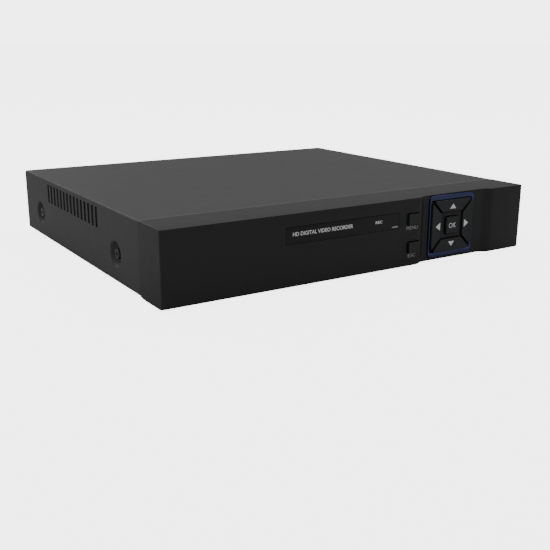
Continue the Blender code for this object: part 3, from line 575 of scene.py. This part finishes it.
def make_cover():
    """The folded sheet: a section that runs lip, side, fold, top, fold, side, lip, carried along y.

    On the side walls each point moves inwards by DIMPLE_DEPTH times a smooth step that falls from 1
    to 0 between the two dimple radii.  Cells inside the vent slots are left out.
    """
    spots = dimple_spots()
    rim = DIMPLE_R[1] + 0.4
    low_z, high_z = spots[0][1] - rim, spots[0][1] + rim
    side_z = fine_lines((1.2, low_z, 4), (low_z, high_z, 34), (high_z, VENT_Z[0], 3),
                        (*VENT_Z, 3), (VENT_Z[1], CASE_H - FOLD_R, 2))
    left = joined(0.0, side_z)
    lip = np.array(((LIP_W, 0.0), (2.4, 0.0)))
    low_fold = bend((1.2, 1.2), 1.2, 270, 180, 5)
    top_fold = bend((FOLD_R, CASE_H - FOLD_R), FOLD_R, 180, 90, 8)
    top = joined(np.linspace(FOLD_R, CASE_W / 2, 14), CASE_H)
    half = np.concatenate((lip, low_fold, left[1:], top_fold[1:], top[1:]))
    mirrored = half[-2::-1] * (-1, 1) + (CASE_W, 0)
    section = np.concatenate((half, mirrored))
    vent_y = VENT_FIRST_Y + VENT_PITCH * np.arange(VENT_COUNT)
    along = [(COVER_FRONT, spots[0][0] - rim, 4)]
    along += [(y - rim, y + rim, 34) for y, _ in spots]
    along += [(y - VENT_W / 2, y + VENT_W / 2, 3) for y in vent_y]
    along.append((spots[1][0] + rim, CASE_D, 4))
    y_lines = fine_lines(*along)
    x, z = section[:, :1], section[:, 1:]
    y = y_lines[None, :]
    away = np.full((len(section), len(y_lines)), 99.0)
    for spot_y, spot_z in spots:
        away = np.minimum(away, np.hypot(y - spot_y, z - spot_z))
    ramp = np.clip((DIMPLE_R[1] - away) / (DIMPLE_R[1] - DIMPLE_R[0]), 0, 1)
    push = DIMPLE_DEPTH * ramp * ramp * (3 - 2 * ramp)
    wall = 1.0 * (np.abs(x) < TOUCH) - 1.0 * (np.abs(x - CASE_W) < TOUCH)
    points = joined(x + push * wall, y, z)
    mid_z = middles(section[:, 1])
    on_wall = np.minimum(np.abs(section[1:, 0]), np.abs(section[1:, 0] - CASE_W)) < TOUCH
    in_slot = (np.abs(middles(y_lines)[:, None] - vent_y) < VENT_W / 2).any(1)
    band = on_wall & (mid_z > VENT_Z[0]) & (mid_z < VENT_Z[1])
    keep = ~(band[:, None] & in_slot[None, :])
    cover = piece("top_cover", [sheet(points[::-1], keep[::-1])], COVER_COAT, crease=30,
                  outward=False)
    wall_thickness = cover.modifiers.new("sheet thickness", "SOLIDIFY")
    wall_thickness.thickness = SHEET * MM
    wall_thickness.offset = -1.0
    eased = cover.modifiers.new("punched edges", "BEVEL")
    eased.width = 0.16 * MM
    eased.segments = 2
    eased.limit_method = "ANGLE"
    eased.angle_limit = math.radians(50)
    eased.harden_normals = True
    lip_y = CASE_D - SHEET - GAP - SHEET
    patches = [slab(rectangle((CASE_W / 2, CASE_H - SHEET - 1.0), (CASE_W / 2 - 6.0, 1.0)), 0.3,
                    lip_y, lip_y + SHEET, 0.1)]
    for number in (1, 2):
        centre = (footprint(f"rear_screw_{number}")[0][0], 34.5)
        patches.append(slab(rectangle(centre, (8.0, 4.5)), 1.0, lip_y, lip_y + SHEET, 0.1))
    piece("cover_rear_lip", patches, POWDER_COAT)


# ---- front bezel

def face_y(x):
    """How far back the face lies: a flat with one shallow recess between two cosine eases."""
    left = np.clip((x - RECESS_LEFT[0]) / (RECESS_LEFT[1] - RECESS_LEFT[0]), 0, 1)
    right = np.clip((RECESS_RIGHT[1] - x) / (RECESS_RIGHT[1] - RECESS_RIGHT[0]), 0, 1)
    return RECESS_DEPTH * (1 - np.cos(np.pi * np.minimum(left, right))) / 2


def round_off(distance, radius):
    """How far a rounded edge falls back at a distance from it: the rise of a circle of that radius."""
    short = np.clip(radius - distance, 0, radius)
    return radius - np.sqrt(radius * radius - short * short)


def on_outline(points, centre, half, radius):
    """Carries points round a rectangle onto a rounded rectangle with the same centre."""
    half = np.asarray(half)
    offset = points - centre
    spot = offset / np.abs(offset).max(0) * half
    core = np.clip(spot, radius - half, half - radius)
    arm = spot - core
    length = np.linalg.norm(arm, axis=1, keepdims=True)
    cornered = (np.abs(arm) > 1e-6).all(1)[:, None]
    return centre + np.where(cornered, core + arm / np.maximum(length, 1e-9) * radius, spot)


class Opening:
    """A rectangular gap in the bezel's grid, and the rounded well that lines it."""

    def __init__(self, centre, half, radius, floor=None):
        self.centre = np.asarray(centre, float)
        self.half = np.asarray(half, float)
        self.radius = radius
        self.floor = floor

    def lines(self, axis):
        """Grid lines for the gap's sides, closer together near its corners."""
        reach = self.half[axis] + RIM
        arc = quarter(self.radius + RIM, 5)[1]
        return np.concatenate((self.centre[axis] - reach + arc, self.centre[axis] + reach - arc))

    def covers(self, mid_x, mid_z):
        inside_x = np.abs(mid_x - self.centre[0]) < self.half[0] + RIM
        inside_z = np.abs(mid_z - self.centre[1]) < self.half[1] + RIM
        return inside_z[:, None] & inside_x[None, :]

    def edge(self, x_lines, z_lines):
        """The gap's boundary as points round the grid, anticlockwise seen from the front."""
        reach = self.half + RIM + 0.001
        xs = x_lines[np.abs(x_lines - self.centre[0]) <= reach[0]]
        zs = z_lines[np.abs(z_lines - self.centre[1]) <= reach[1]]
        sides = ((xs[:-1], zs[0]), (xs[-1], zs[:-1]), (xs[:0:-1], zs[-1]), (xs[0], zs[:0:-1]))
        return np.concatenate([joined(*side) for side in sides])


def well(opening, x_lines, z_lines, steps=()):
    """Loops from the face, over a rounded rim and down the well; steps are (half, radius, y)."""
    edge = opening.edge(x_lines, z_lines)
    loops = [lay(edge, face_y(edge[:, 0]))]
    shrink, drop = quarter(RIM)
    for grow, fall in zip(shrink, drop):
        ring = on_outline(edge, opening.centre, opening.half + grow, opening.radius + grow)
        loops.append(lay(ring, face_y(ring[:, 0]) + fall))
    for half, radius, depth in steps:
        loops.append(lay(on_outline(edge, opening.centre, half, radius), depth))
    if opening.floor is not None:
        loops.append(lay(on_outline(edge, opening.centre, opening.half, opening.radius), opening.floor))
        return solid(loops, cap_first=False)
    half, radius = steps[-1][:2] if steps else (opening.half, opening.radius)
    ring = on_outline(edge, opening.centre, half, radius)
    loops += [lay(outline, face_y(outline[:, 0]) + FACE_WALL) for outline in (ring, edge)]
    return solid(loops, cap_first=False, cap_last=False)


def make_bezel():
    """The moulded shell: an outer skin and an inner skin on one set of grid lines.

    At each x the outer section runs forward along the underside, up round the skirt, up the face and
    back over the top edge.  Near either end the section shrinks by the rise of a circle, which rounds
    the end's edges, and the face falls back by another, which rounds the upright corner.
    """
    window_centre, window_half = footprint("indicator_window")
    pocket = Opening(window_centre, window_half + SEAM, 0.6, floor=WINDOW_Y[1] + GAP)
    pad = Opening((PAD_X, PAD_Z), RING_HALF + GAP, 3.1)
    menu, escape = (Opening(footprint(name)[0], BUTTON_HALF + GAP, 0.7)
                    for name in ("menu_button", "esc_button"))
    openings = (pocket, pad, menu, escape)
    corner = quarter(CORNER_R, 8)[1]
    ends = np.concatenate((corner, CASE_W - corner, [SIDE_EASE * 0.25, CASE_W - SIDE_EASE * 0.25]))
    x_lines = np.concatenate([ends, np.linspace(*RECESS_LEFT, 21), np.linspace(*RECESS_RIGHT, 21),
                              np.linspace(CORNER_R, RECESS_LEFT[0], 20)]
                             + [opening.lines(0) for opening in openings])
    x_lines = np.unique(np.round(x_lines, 4))
    face_low, face_high = BEZEL_BOTTOM + SKIRT[1], CASE_H - TOP_EASE
    z_lines = np.concatenate([[face_low, face_high]] + [opening.lines(1) for opening in openings])
    z_lines = np.unique(np.round(np.clip(z_lines, face_low, face_high), 4))
    x = x_lines[:, None]
    inward = np.minimum(x, CASE_W - x)
    front = face_y(x) + round_off(inward, CORNER_R)
    ease = round_off(inward, SIDE_EASE)
    bottom, top = BEZEL_BOTTOM + ease, CASE_H - ease
    turn = np.radians(np.linspace(0, 90, 8))[None, :]
    run = np.array((0.0, 0.04, 0.08, 0.13, 0.2, 0.5))[None, :]
    skirt_start = front + SKIRT[0]
    y_parts = [BEZEL_D + (skirt_start - BEZEL_D) * run, front + SKIRT[0] * (1 - np.sin(turn[:, :-1])),
               front + 0 * z_lines[None, :], front + TOP_EASE * (1 - np.cos(turn[:, 1:])),
               front + TOP_EASE + (BEZEL_D - front - TOP_EASE) * (1 - run[:, ::-1])]
    rise = np.clip((y_parts[0] - BEZEL_D + REAR_RISE[0]) / REAR_RISE[0], 0, 1)
    z_parts = [bottom + REAR_RISE[1] * rise ** 2, bottom + SKIRT[1] * (1 - np.cos(turn[:, :-1])),
               np.clip(z_lines[None, :], bottom + SKIRT[1], top - TOP_EASE),
               top - TOP_EASE + TOP_EASE * np.sin(turn[:, 1:]), top + 0 * run]
    y_grid = np.concatenate(y_parts, 1)
    z_grid = np.concatenate(z_parts, 1)
    outer = joined(x, y_grid, z_grid).transpose(1, 0, 2)
    face_start = run.shape[1] + turn.shape[1] - 1
    mid_x, mid_z = middles(x_lines), middles(z_lines)
    open_cells = np.zeros((len(mid_z), len(mid_x)), bool)
    for opening in openings:
        open_cells |= opening.covers(mid_x, mid_z)
    keep = np.ones((len(outer) - 1, len(mid_x)), bool)
    keep[face_start:face_start + len(mid_z)] &= ~open_cells
    patches = [sheet(outer, keep)]
    patches += [(outer[:, end], [list(range(len(outer)))]) for end in (0, -1)]
    inner_x = np.clip(x_lines, BEZEL_WALL, CASE_W - BEZEL_WALL)
    inner_z = np.clip(z_lines, BEZEL_BOTTOM + BEZEL_WALL, CASE_H - BEZEL_WALL)
    inner_z = np.where(np.abs(z_lines - pad.centre[1]) > pad.half[1] - 2.0, z_lines, inner_z)
    back = face_y(x_lines) + FACE_WALL
    inner = turn_to("y", inner_x[None, :], inner_z[:, None], back[None, :])
    inner_keep = np.ones(open_cells.shape, bool)
    for opening in (pad, menu, escape):
        inner_keep &= ~opening.covers(mid_x, mid_z)
    floor_edge, ceiling_edge = (lay(inner[end][:, ::2], BEZEL_D) for end in (0, -1))
    patches.append(sheet(inner, inner_keep))
    patches.append(sheet(np.stack((floor_edge, inner[0]))))
    patches.append(sheet(np.stack((inner[-1], ceiling_edge))))
    for end in (0, -1):
        wall = np.concatenate((floor_edge[None, end], inner[:, end], ceiling_edge[None, end]))
        patches.append((wall, [list(range(len(wall)))]))
    outer_rim = np.concatenate((outer[0], outer[-1][::-1]))
    inner_rim = np.concatenate((floor_edge, ceiling_edge[::-1]))
    patches.append(sheet(np.stack((outer_rim, inner_rim)), wrap_cols=True))
    pad_steps = [(pad.half, pad.radius, GROOVE_FLOOR), (PAD_HALF + GAP, 0.5, GROOVE_FLOOR)]
    patches.append(well(pad, x_lines, z_lines, pad_steps))
    patches += [well(opening, x_lines, z_lines) for opening in (pocket, menu, escape)]
    piece("front_bezel", patches, MOULDING, crease=32)
    piece("keypad_web", keypad_web(), MOULDING)
    piece("bezel_tongue", bezel_tongue(), MOULDING)


def bezel_tongue():
    """A thin ledge behind the seam, under the cover's top and inside its walls."""
    start, end = BEZEL_D - 1.5, BEZEL_D + 2.4
    near, far = SHEET + 0.15, SHEET + 0.75
    middle, half = (near + far) / 2, (far - near) / 2
    bars = [((CASE_W / 2, CASE_H - middle), (CASE_W / 2 - 3.0, half))]
    bars += [((x, CASE_H / 2), (half, CASE_H / 2 - 4.0)) for x in (middle, CASE_W - middle)]
    return [slab(rectangle(*bar), 0.1, start, end, 0.1, steps=2) for bar in bars]


def keypad_web():
    """The square frame round the OK key, and four bars from its corners between the arrow keys."""
    back = RECESS_DEPTH + FACE_WALL
    patches = [framed((PAD_X, PAD_Z), PAD_INNER - GAP, 0.8, OK_HALF + GAP, 0.5, OK_FRAME_FRONT, back, 0.3)]
    inner_end, outer_end = PAD_INNER - 0.9, PAD_HALF - 0.1
    along = (outer_end - inner_end) / np.linalg.norm(outer_end - inner_end)
    side = np.array((-along[1], along[0])) * (PAD_SPLIT * math.sqrt(0.5) - GAP)
    bar = np.array((inner_end + side, inner_end - side, outer_end - side, outer_end + side))
    for flip in ((1, 1), (-1, 1), (-1, -1), (1, -1)):
        corners = bar * flip
        if flip[0] * flip[1] < 0:
            corners = corners[::-1]
        patches.append(slab(corners + (PAD_X, PAD_Z), 0.05, RECESS_DEPTH, back, 0.1, steps=2))
    return patches


def make_window():
    """The dark insert in the bezel's pocket, and its printed words."""
    centre, half = footprint("indicator_window")
    front, back = WINDOW_Y
    piece("indicator_window", [slab(rectangle(centre, half), 0.6, front, back, 0.2)], SMOKED)
    print_y = front - 0.01
    words = [lettering("HD DIGITAL VIDEO RECORDER", (99.7, print_y, 29.8), 2.3, 41.4, weight=0.02),
             lettering("REC", (139.4, print_y, 29.8), 1.7, 5.0, weight=0.02),
             lettering("HDD", (151.9, print_y, 25.6), 0.9, 4.4)]
    piece("window_print", words, PRINT)


def make_ring():
    """The light guide round the arrow keys."""
    ring = framed((PAD_X, PAD_Z), RING_HALF, 2.8, RING_BORE, 0.8, RING_FRONT, GROOVE_FLOOR - GAP, 0.45)
    piece("dpad_light_ring", [ring], BLUE_GUIDE)


# ---- keys

def key_corners(way):
    """The trapezium of the arrow key that lies a given way, anticlockwise seen from the front."""
    across = np.array((-way[1], way[0]))
    along = 0 if way[0] else 1
    inner, outer = way * PAD_INNER[along], way * PAD_HALF[along]
    narrow, wide = (across * (size[1 - along] - PAD_SPLIT) for size in (PAD_INNER, PAD_HALF))
    return np.array((inner - narrow, outer - wide, outer + wide, inner + narrow)) + (PAD_X, PAD_Z)


def dished_key(corners, corner_r, face, back, ease, dish, slope=0.0):
    """A key cap: straight sides, a rounded edge, and a face that sinks a little towards its middle.

    slope lowers the face with nearness to the keypad's centre.
    """
    shrink, drop = quarter(ease, 6)
    levels = [(0.0, back)] + [(s, face + d) for s, d in zip(shrink[::-1], drop[::-1])]
    for step in (0.35, 0.7, 1.0):
        levels.append((ease + 2.4 * step, face + dish * math.sin(step * math.pi / 2)))
    loops = []
    for amount, depth in levels:
        ring = rounded_outline(inset(corners, amount), max(corner_r - amount, 0.25), 6)
        loop = lay(ring, depth)
        if depth < face + 1.5:
            away = (np.abs(ring - (PAD_X, PAD_Z)) / PAD_HALF).max(1)
            loop[:, 1] += slope * (1 - away)
        loops.append(loop)
    return solid(loops)


def arrow_mark(centre, way, width, length):
    """A printed triangle that points a given way."""
    across = np.array((-way[1], way[0]))
    base = centre - way * length / 2
    return np.array((centre + way * length / 2, base + across * width / 2, base - across * width / 2))


def make_keys():
    """The arrow keys with their printed triangles, the OK key and the two buttons with their words."""
    middle = np.array((PAD_X, PAD_Z))
    for name, way in ARROWS.items():
        way = np.array(way)
        cap = dished_key(key_corners(way), 0.9, KEY_FACE, KEY_BACK, ease=0.45, dish=0.15, slope=0.9)
        piece(name, [cap], KEYCAP, name + "_body")
        width, length = (5.0, 3.1) if way[1] else (4.8, 3.6)
        mark = slab(arrow_mark(middle + way * MARK_OUT, way, width, length), 0.12, 1.28, 1.7, 0.02)
        piece(name + "_mark", [mark], PRINT, body=name + "_body")
    cap = dished_key(rectangle(middle, OK_HALF), 0.8, KEY_FACE, KEY_BACK, ease=0.45, dish=0.12)
    piece("key_ok", [cap], KEYCAP, "key_ok_body")
    words = lettering("OK", (PAD_X, KEY_FACE + 0.1, PAD_Z - 0.2), 3.1, 6.0, depth=0.06)
    piece("key_ok_mark", [words], PRINT, body="key_ok_body")
    words = []
    for name, text, drop, width in (("menu_button", "MENU", 5.2, 8.6), ("esc_button", "ESC", 5.0, 6.0)):
        x, z = footprint(name)[0]
        cap = dished_key(rectangle((x, z), BUTTON_HALF), 0.7, span(name)[0][1], KEY_BACK - 3.0,
                         ease=0.35, dish=0.08)
        piece(name, [cap], KEYCAP, name + "_body")
        words.append(lettering(text, (x - 1.0, -0.015, z - drop), 2.2, width))
    piece("button_print", words, FAINT_PRINT)


# ---- screws and feet

def within_arm(along, across):
    """1 inside one arm of a cross recess, 0 outside it, with a soft step between."""
    inside = np.minimum(0.46 - np.abs(along), 1.9 - np.abs(across))
    return np.clip(inside / 0.14 + 0.5, 0, 1)


def cross_screw(node, axis, seat_side, material):
    """A pan head with a cross recess.

    The top's height is a shallow dome less the recess: a depth that steps down smoothly inside
    either of two crossed arms.
    """
    low, high = span(node)
    number = "xyz".index(axis)
    top = low[number] if seat_side > 0 else high[number]
    dome = np.linspace(0, 2.3, 24)
    turn = np.linspace(0, 1, 7) * np.pi / 2
    radius = np.concatenate((dome, HEAD_R - 0.6 + 0.6 * np.sin(turn)))[:, None]
    drop = np.concatenate((0.10 * (dome / 2.3) ** 2, 0.12 + 0.75 * (1 - np.cos(turn))))[:, None]
    angle = np.linspace(0, 2 * np.pi, 96, endpoint=False)
    u, v = radius * np.cos(angle), radius * np.sin(angle)
    recess = np.maximum(within_arm(u, v), within_arm(v, u))
    height = drop + recess * recess * (3 - 2 * recess) * (1 - 0.25 * radius)
    below = np.array((HEAD_T, HEAD_T, 2.6, 6.0, 6.2))[:, None]
    shank = np.array((HEAD_R, 1.4, 1.4, 1.4, 0.0))[:, None]
    radius = np.concatenate((radius, shank))
    height = np.concatenate((height, below + 0 * angle))
    centre = footprint(node, axis)[0]
    points = turn_to(axis, centre[0] + radius * np.cos(angle), centre[1] + radius * np.sin(angle),
                     top + seat_side * height)
    piece(node, [sheet(points, wrap_cols=True)], material, crease=40)


def make_screws():
    """The screws of the side walls, the rear wall and the drive."""
    for number in (1, 2):
        cross_screw(f"cover_screw_left_{number}", "x", 1, BLACK_STEEL)
        cross_screw(f"cover_screw_right_{number}", "x", -1, BLACK_STEEL)
        cross_screw(f"rear_screw_{number}", "y", -1, BLACK_STEEL)
    for number in (1, 2, 3, 4):
        cross_screw(f"drive_screw_{number}", "z", 1, ZINC)


def make_feet():
    """Turned rubber buttons with a dished base and a peg up through the pan."""
    for corner in ("front_left", "front_right", "rear_left", "rear_right"):
        node = f"foot_{corner}"
        low, high = span(node)
        centre, half = footprint(node, "z")
        radius, base, peg = half[0], low[2], high[2]
        profile = [(0, base + 0.5), (radius - 3.4, base + 0.5), (radius - 2.8, base), (radius - 1.4, base),
                   (radius - 0.8, base + 0.15), (radius - 0.5, base + 0.5), (radius - 0.1, base + 2.2),
                   (radius - 0.2, base + 2.6), (radius - 0.6, -GAP), (1.9, -GAP), (1.9, peg - 0.4),
                   (1.5, peg), (0, peg)]
        piece(node, [turned(profile, centre, "z", 64)], RUBBER, crease=50)


# ---- rear sockets

def socket_block(node, corner_r):
    """The body behind a stack of sockets, from REACH_IN inside the outer face of the rear wall."""
    block = rectangle(*footprint(node))
    return slab(block, corner_r, CASE_D - REACH_IN, span(node)[0][1], 0.2, far_ease=0.2)


def coaxial(x, z):
    """A bayonet socket: ringed neck, plain barrel with a rolled mouth, and two side lugs."""
    neck, barrel, bore, mouth = 5.9, 4.8, 3.8, 13.0
    profile = [(0.0, -REACH_IN), (neck, -REACH_IN), (neck, 1.2), (neck - 0.3, 1.6), (barrel, 1.6),
               (barrel, 3.0), (barrel + 0.35, 3.3), (barrel + 0.35, 4.1), (barrel, 4.4),
               (barrel, mouth - 0.4), (barrel - 0.15, mouth - 0.1), (barrel - 0.4, mouth),
               (bore + 0.2, mouth), (bore, mouth - 0.3), (bore, 3.5), (0.0, 3.5)]
    patches = [turned(profile, (x, z), base=CASE_D)]
    for way in (-1, 1):
        lug = [(0.0, way * 4.4), (0.95, way * 4.4), (0.95, way * 5.45), (0.75, way * 5.6), (0.0, way * 5.6)]
        patches.append(turned(lug, (CASE_D + 9.5, z), "x", 20, base=x))
    return patches


def make_coaxials():
    """Four stacks of two sockets, each with its white core and its contact."""
    core = [(0.0, 3.6), (3.7, 3.6), (3.7, 5.2), (2.2, 5.2), (2.2, 10.2), (2.0, 10.4), (0.9, 10.4),
            (0.9, 6.0), (0.0, 6.0)]
    pin = [(0.0, 6.1), (0.85, 6.1), (0.85, 9.8), (0.65, 10.0), (0.45, 10.0), (0.45, 7.0), (0.0, 7.0)]
    for number in (1, 2, 3, 4):
        node = f"bnc_stack_{number}"
        x = footprint(node)[0][0]
        patches = [socket_block(node, 0.6)]
        cores, pins = [], []
        for z in COAXIAL_Z:
            patches += coaxial(x, z)
            cores.append(turned(core, (x, z), "y", 32, CASE_D))
            pins.append(turned(pin, (x, z), "y", 20, CASE_D))
        piece(node, patches, NICKEL)
        piece(f"bnc_core_{number}", cores, INSULATOR)
        piece(f"bnc_contact_{number}", pins, GOLD)


def make_audio():
    """Two phono sockets: a metal shell in a plastic collar each."""
    x = footprint("audio_stack")[0][0]
    shell = [(0.0, -REACH_IN), (2.6, -REACH_IN), (2.6, 1.2), (4.15, 1.25), (4.15, 8.7), (3.9, 9.0),
             (3.3, 9.0), (3.2, 8.8), (3.2, 2.0), (1.7, 2.0), (1.7, 1.0), (0.0, 1.0)]
    collar = [(0.0, -1.25), (4.9, -1.25), (4.9, 0.9), (4.6, 1.2), (0.0, 1.2)]
    shells = [turned(shell, (x, z), "y", 40, CASE_D) for z in AUDIO_Z]
    collars = [turned(collar, (x, z), "y", 40, CASE_D) for z in AUDIO_Z]
    piece("audio_stack", [socket_block("audio_stack", 0.5)] + collars, NYLON)
    piece("audio_shells", shells, NICKEL)


def make_monitor():
    """A D-shaped shell with its 15 holes and two jack posts, over a flat digital socket."""
    wall = CASE_D
    x = footprint("monitor_stack")[0][0]
    top, flat_z = span("monitor_stack")[1][2] - 6.5, 12.8
    shell_corners = np.array(((-7.1, -3.8), (7.1, -3.8), (8.2, 3.8), (-8.2, 3.8))) + (x, top)
    flange = slab(rectangle((x, top), (15.4, 6.2)), 1.0, wall + 0.6, wall - 1.4, 0.2)
    post = [(0.0, 4.3), (1.5, 4.3), (1.5, 5.0), (1.2, 5.2), (0.0, 5.2)]
    posts = []
    for post_x in (x - 12.5, x + 12.5):
        posts.append(slab(bend((post_x, top), 2.9, 0, 300, 5), 0.2, wall + 4.4, wall + 0.4, 0.25, steps=2))
        posts.append(turned(post, (post_x, top), "y", 24, wall))
    shrink, drop = quarter(0.25)
    rim = [(0.0, wall + 0.5)] + [(s, wall + 5.6 - d) for s, d in zip(shrink[::-1], drop[::-1])]
    rim += [(0.6 - s, wall + 5.6 - d) for s, d in zip(shrink, drop)] + [(0.6, wall + 4.9), (0.6, wall + 0.5)]
    shell = torus([lay(rounded_outline(inset(shell_corners, amount), max(1.8 - amount, 0.3)), depth)
                   for amount, depth in rim])
    mouth = framed((x, flat_z), (7.7, 3.3), 1.2, (7.0, 2.3), 0.8, wall + 0.8, wall - REACH_IN, 0.2)
    insert = [socket_block("monitor_stack", 0.6),
              slab(inset(shell_corners, 0.75), 1.2, wall + 5.1, wall + 0.4, 0.1),
              slab(rectangle((x, flat_z), (5.8, 0.6)), 0.2, wall - 1.0, wall - 8.0, 0.1)]
    hole = [(0.0, 5.0), (0.55, 5.0), (0.55, 5.16), (0.36, 5.16), (0.36, 5.05), (0.0, 5.05)]
    contacts = []
    for row, shift in ((1.95, 0.0), (0.0, -1.1), (-1.95, 0.0)):
        for pin in range(-2, 3):
            contacts.append(turned(hole, (x + pin * 2.25 + shift, top + row), "y", 14, wall))
    piece("monitor_stack", insert, NYLON)
    piece("monitor_shells", [flange, shell] + posts + [mouth], NICKEL)
    piece("monitor_contacts", contacts, GOLD)


def make_rear_print():
    """Plain printed words and channel numbers beside the sockets."""
    y = CASE_D + 0.015
    words = []
    for number in (1, 2, 3, 4):
        x = footprint(f"bnc_stack_{number}")[0][0] + 7.0
        words.append(lettering(str(number), (x, y, 36.6), 1.7, face="rear"))
        words.append(lettering(str(number + 4), (x, y, 9.4), 1.7, face="rear"))
    for text, x, z, height, width in (("VIDEO IN", 144.5, 4.6, 2.0, 13.0), ("AUDIO", 183.8, 4.6, 2.0, 8.6),
                                      ("MONITOR", 207.0, 4.6, 2.0, 12.0), ("NETWORK", 232.0, 4.6, 2.0, 12.5),
                                      ("DC 12V", 248.6, 22.4, 1.7, 8.4)):
        words.append(lettering(text, (x, y, z), height, width, face="rear"))
    piece("rear_print", words, FAINT_PRINT)


# ---- finishes of the frame's own nodes

def finish_frame_nodes():
    """Gives every frame node that still shows the finish of its slot, leaving its mesh as it is."""
    finishes = {"steel_black": POWDER_COAT, "bezel_black": MOULDING, "smoked": SMOKED,
                "ring_blue": BLUE_GUIDE, "key_grey": KEYCAP, "circuit_green": BOARD,
                "black_plastic": NYLON, "lamp_clear": LAMP, "rubber_black": RUBBER, "screw_zinc": ZINC,
                "bare_aluminium": CASTING, "socket_nickel": NICKEL, "cable_red": RED_PVC,
                "cable_grey": GREY_PVC}
    for entry in frame["record"]["subparts"]:
        for holder in frame["nodes"][entry["node"]].material_slots:
            holder.material = finishes[entry["material_slot"]]


# ---- studio

def make_camera():
    """A long lens at the left front corner, a little above the case."""
    azimuth, elevation, roll = (math.radians(angle) for angle in (-32.48, 15.91, 0.20))
    turn = (Matrix.Rotation(azimuth, 4, "Z") @ Matrix.Rotation(math.pi / 2 - elevation, 4, "X")
            @ Matrix.Rotation(roll, 4, "Z"))
    camera = bpy.data.cameras.new("camera")
    camera.lens = 53.26
    camera.sensor_width = 36.0
    camera.clip_start = 0.02
    holder = add_object("camera", camera)
    holder.matrix_world = Matrix.Translation(Vector(place((-161.7, -360.0, 130.3)))) @ turn
    bpy.context.scene.camera = holder


def soft_light(name, spot, target, size, power, colour=(1.0, 1.0, 1.0)):
    """A rectangular area light aimed at a point."""
    light = bpy.data.lights.new(name, "AREA")
    light.shape = "RECTANGLE"
    light.size, light.size_y = size
    light.energy = power
    light.color = colour
    holder = add_object(name, light)
    spot, target = Vector(spot), Vector(target)
    holder.location = spot
    holder.rotation_euler = (target - spot).to_track_quat("-Z", "Y").to_euler()


def seen_directly(tree, otherwise, direct):
    """A value that is brighter where the camera looks straight at a surface."""
    path = tree.nodes.new("ShaderNodeLightPath")
    return rescale(tree, path.outputs["Is Camera Ray"], 0.0, 1.0, otherwise, direct)


def make_studio():
    """A wide pale floor, with one broad light above and weaker ones behind and at the side."""
    material, tree, shader, position = start_finish("pale floor")
    tone = two_tone(tree, noise(tree, position, 3.0), (0.54, 0.54, 0.54), (0.58, 0.58, 0.58))
    white = (1.0, 1.0, 1.0, 1.0)
    feed(tree, shader, {"Base Color": tone, "Roughness": 0.9, "Specular IOR Level": 0.1,
                        "Emission Color": white, "Emission Strength": seen_directly(tree, 0.0, 4.2)})
    floor = bpy.data.meshes.new("floor")
    reach = 60.0
    corners = rectangle((0.0, 0.0), (reach, reach))
    floor.from_pydata([(x, y, 0.0) for x, y in corners], [], [(0, 1, 2, 3)])
    floor.materials.append(material)
    add_object("floor", floor)
    world = bpy.data.worlds.new("soft room")
    world.use_nodes = True
    sky = world.node_tree
    feed(sky, sky.nodes["Background"], {"Color": white, "Strength": seen_directly(sky, 0.29, 4.6)})
    bpy.context.scene.world = world
    soft_light("broad top light", (0.2, 0.2, 1.3), (0.2, 0.2, 0), (2.2, 1.8), 11.2)
    soft_light("rear strip light", (-0.5, 1.9, 1.3), (0, 0, 0), (1.4, 0.5), 5.5)
    soft_light("side light", (-1.3, 0.7, 0.6), (0, 0, 0), (0.8, 0.8), 0.4, (1.0, 0.82, 0.66))


make_cover()
make_bezel()
make_window()
make_ring()
make_keys()
make_screws()
make_feet()
make_coaxials()
make_audio()
make_monitor()
make_rear_print()
finish_frame_nodes()
make_camera()
make_studio()
bpy.context.view_layer.update()
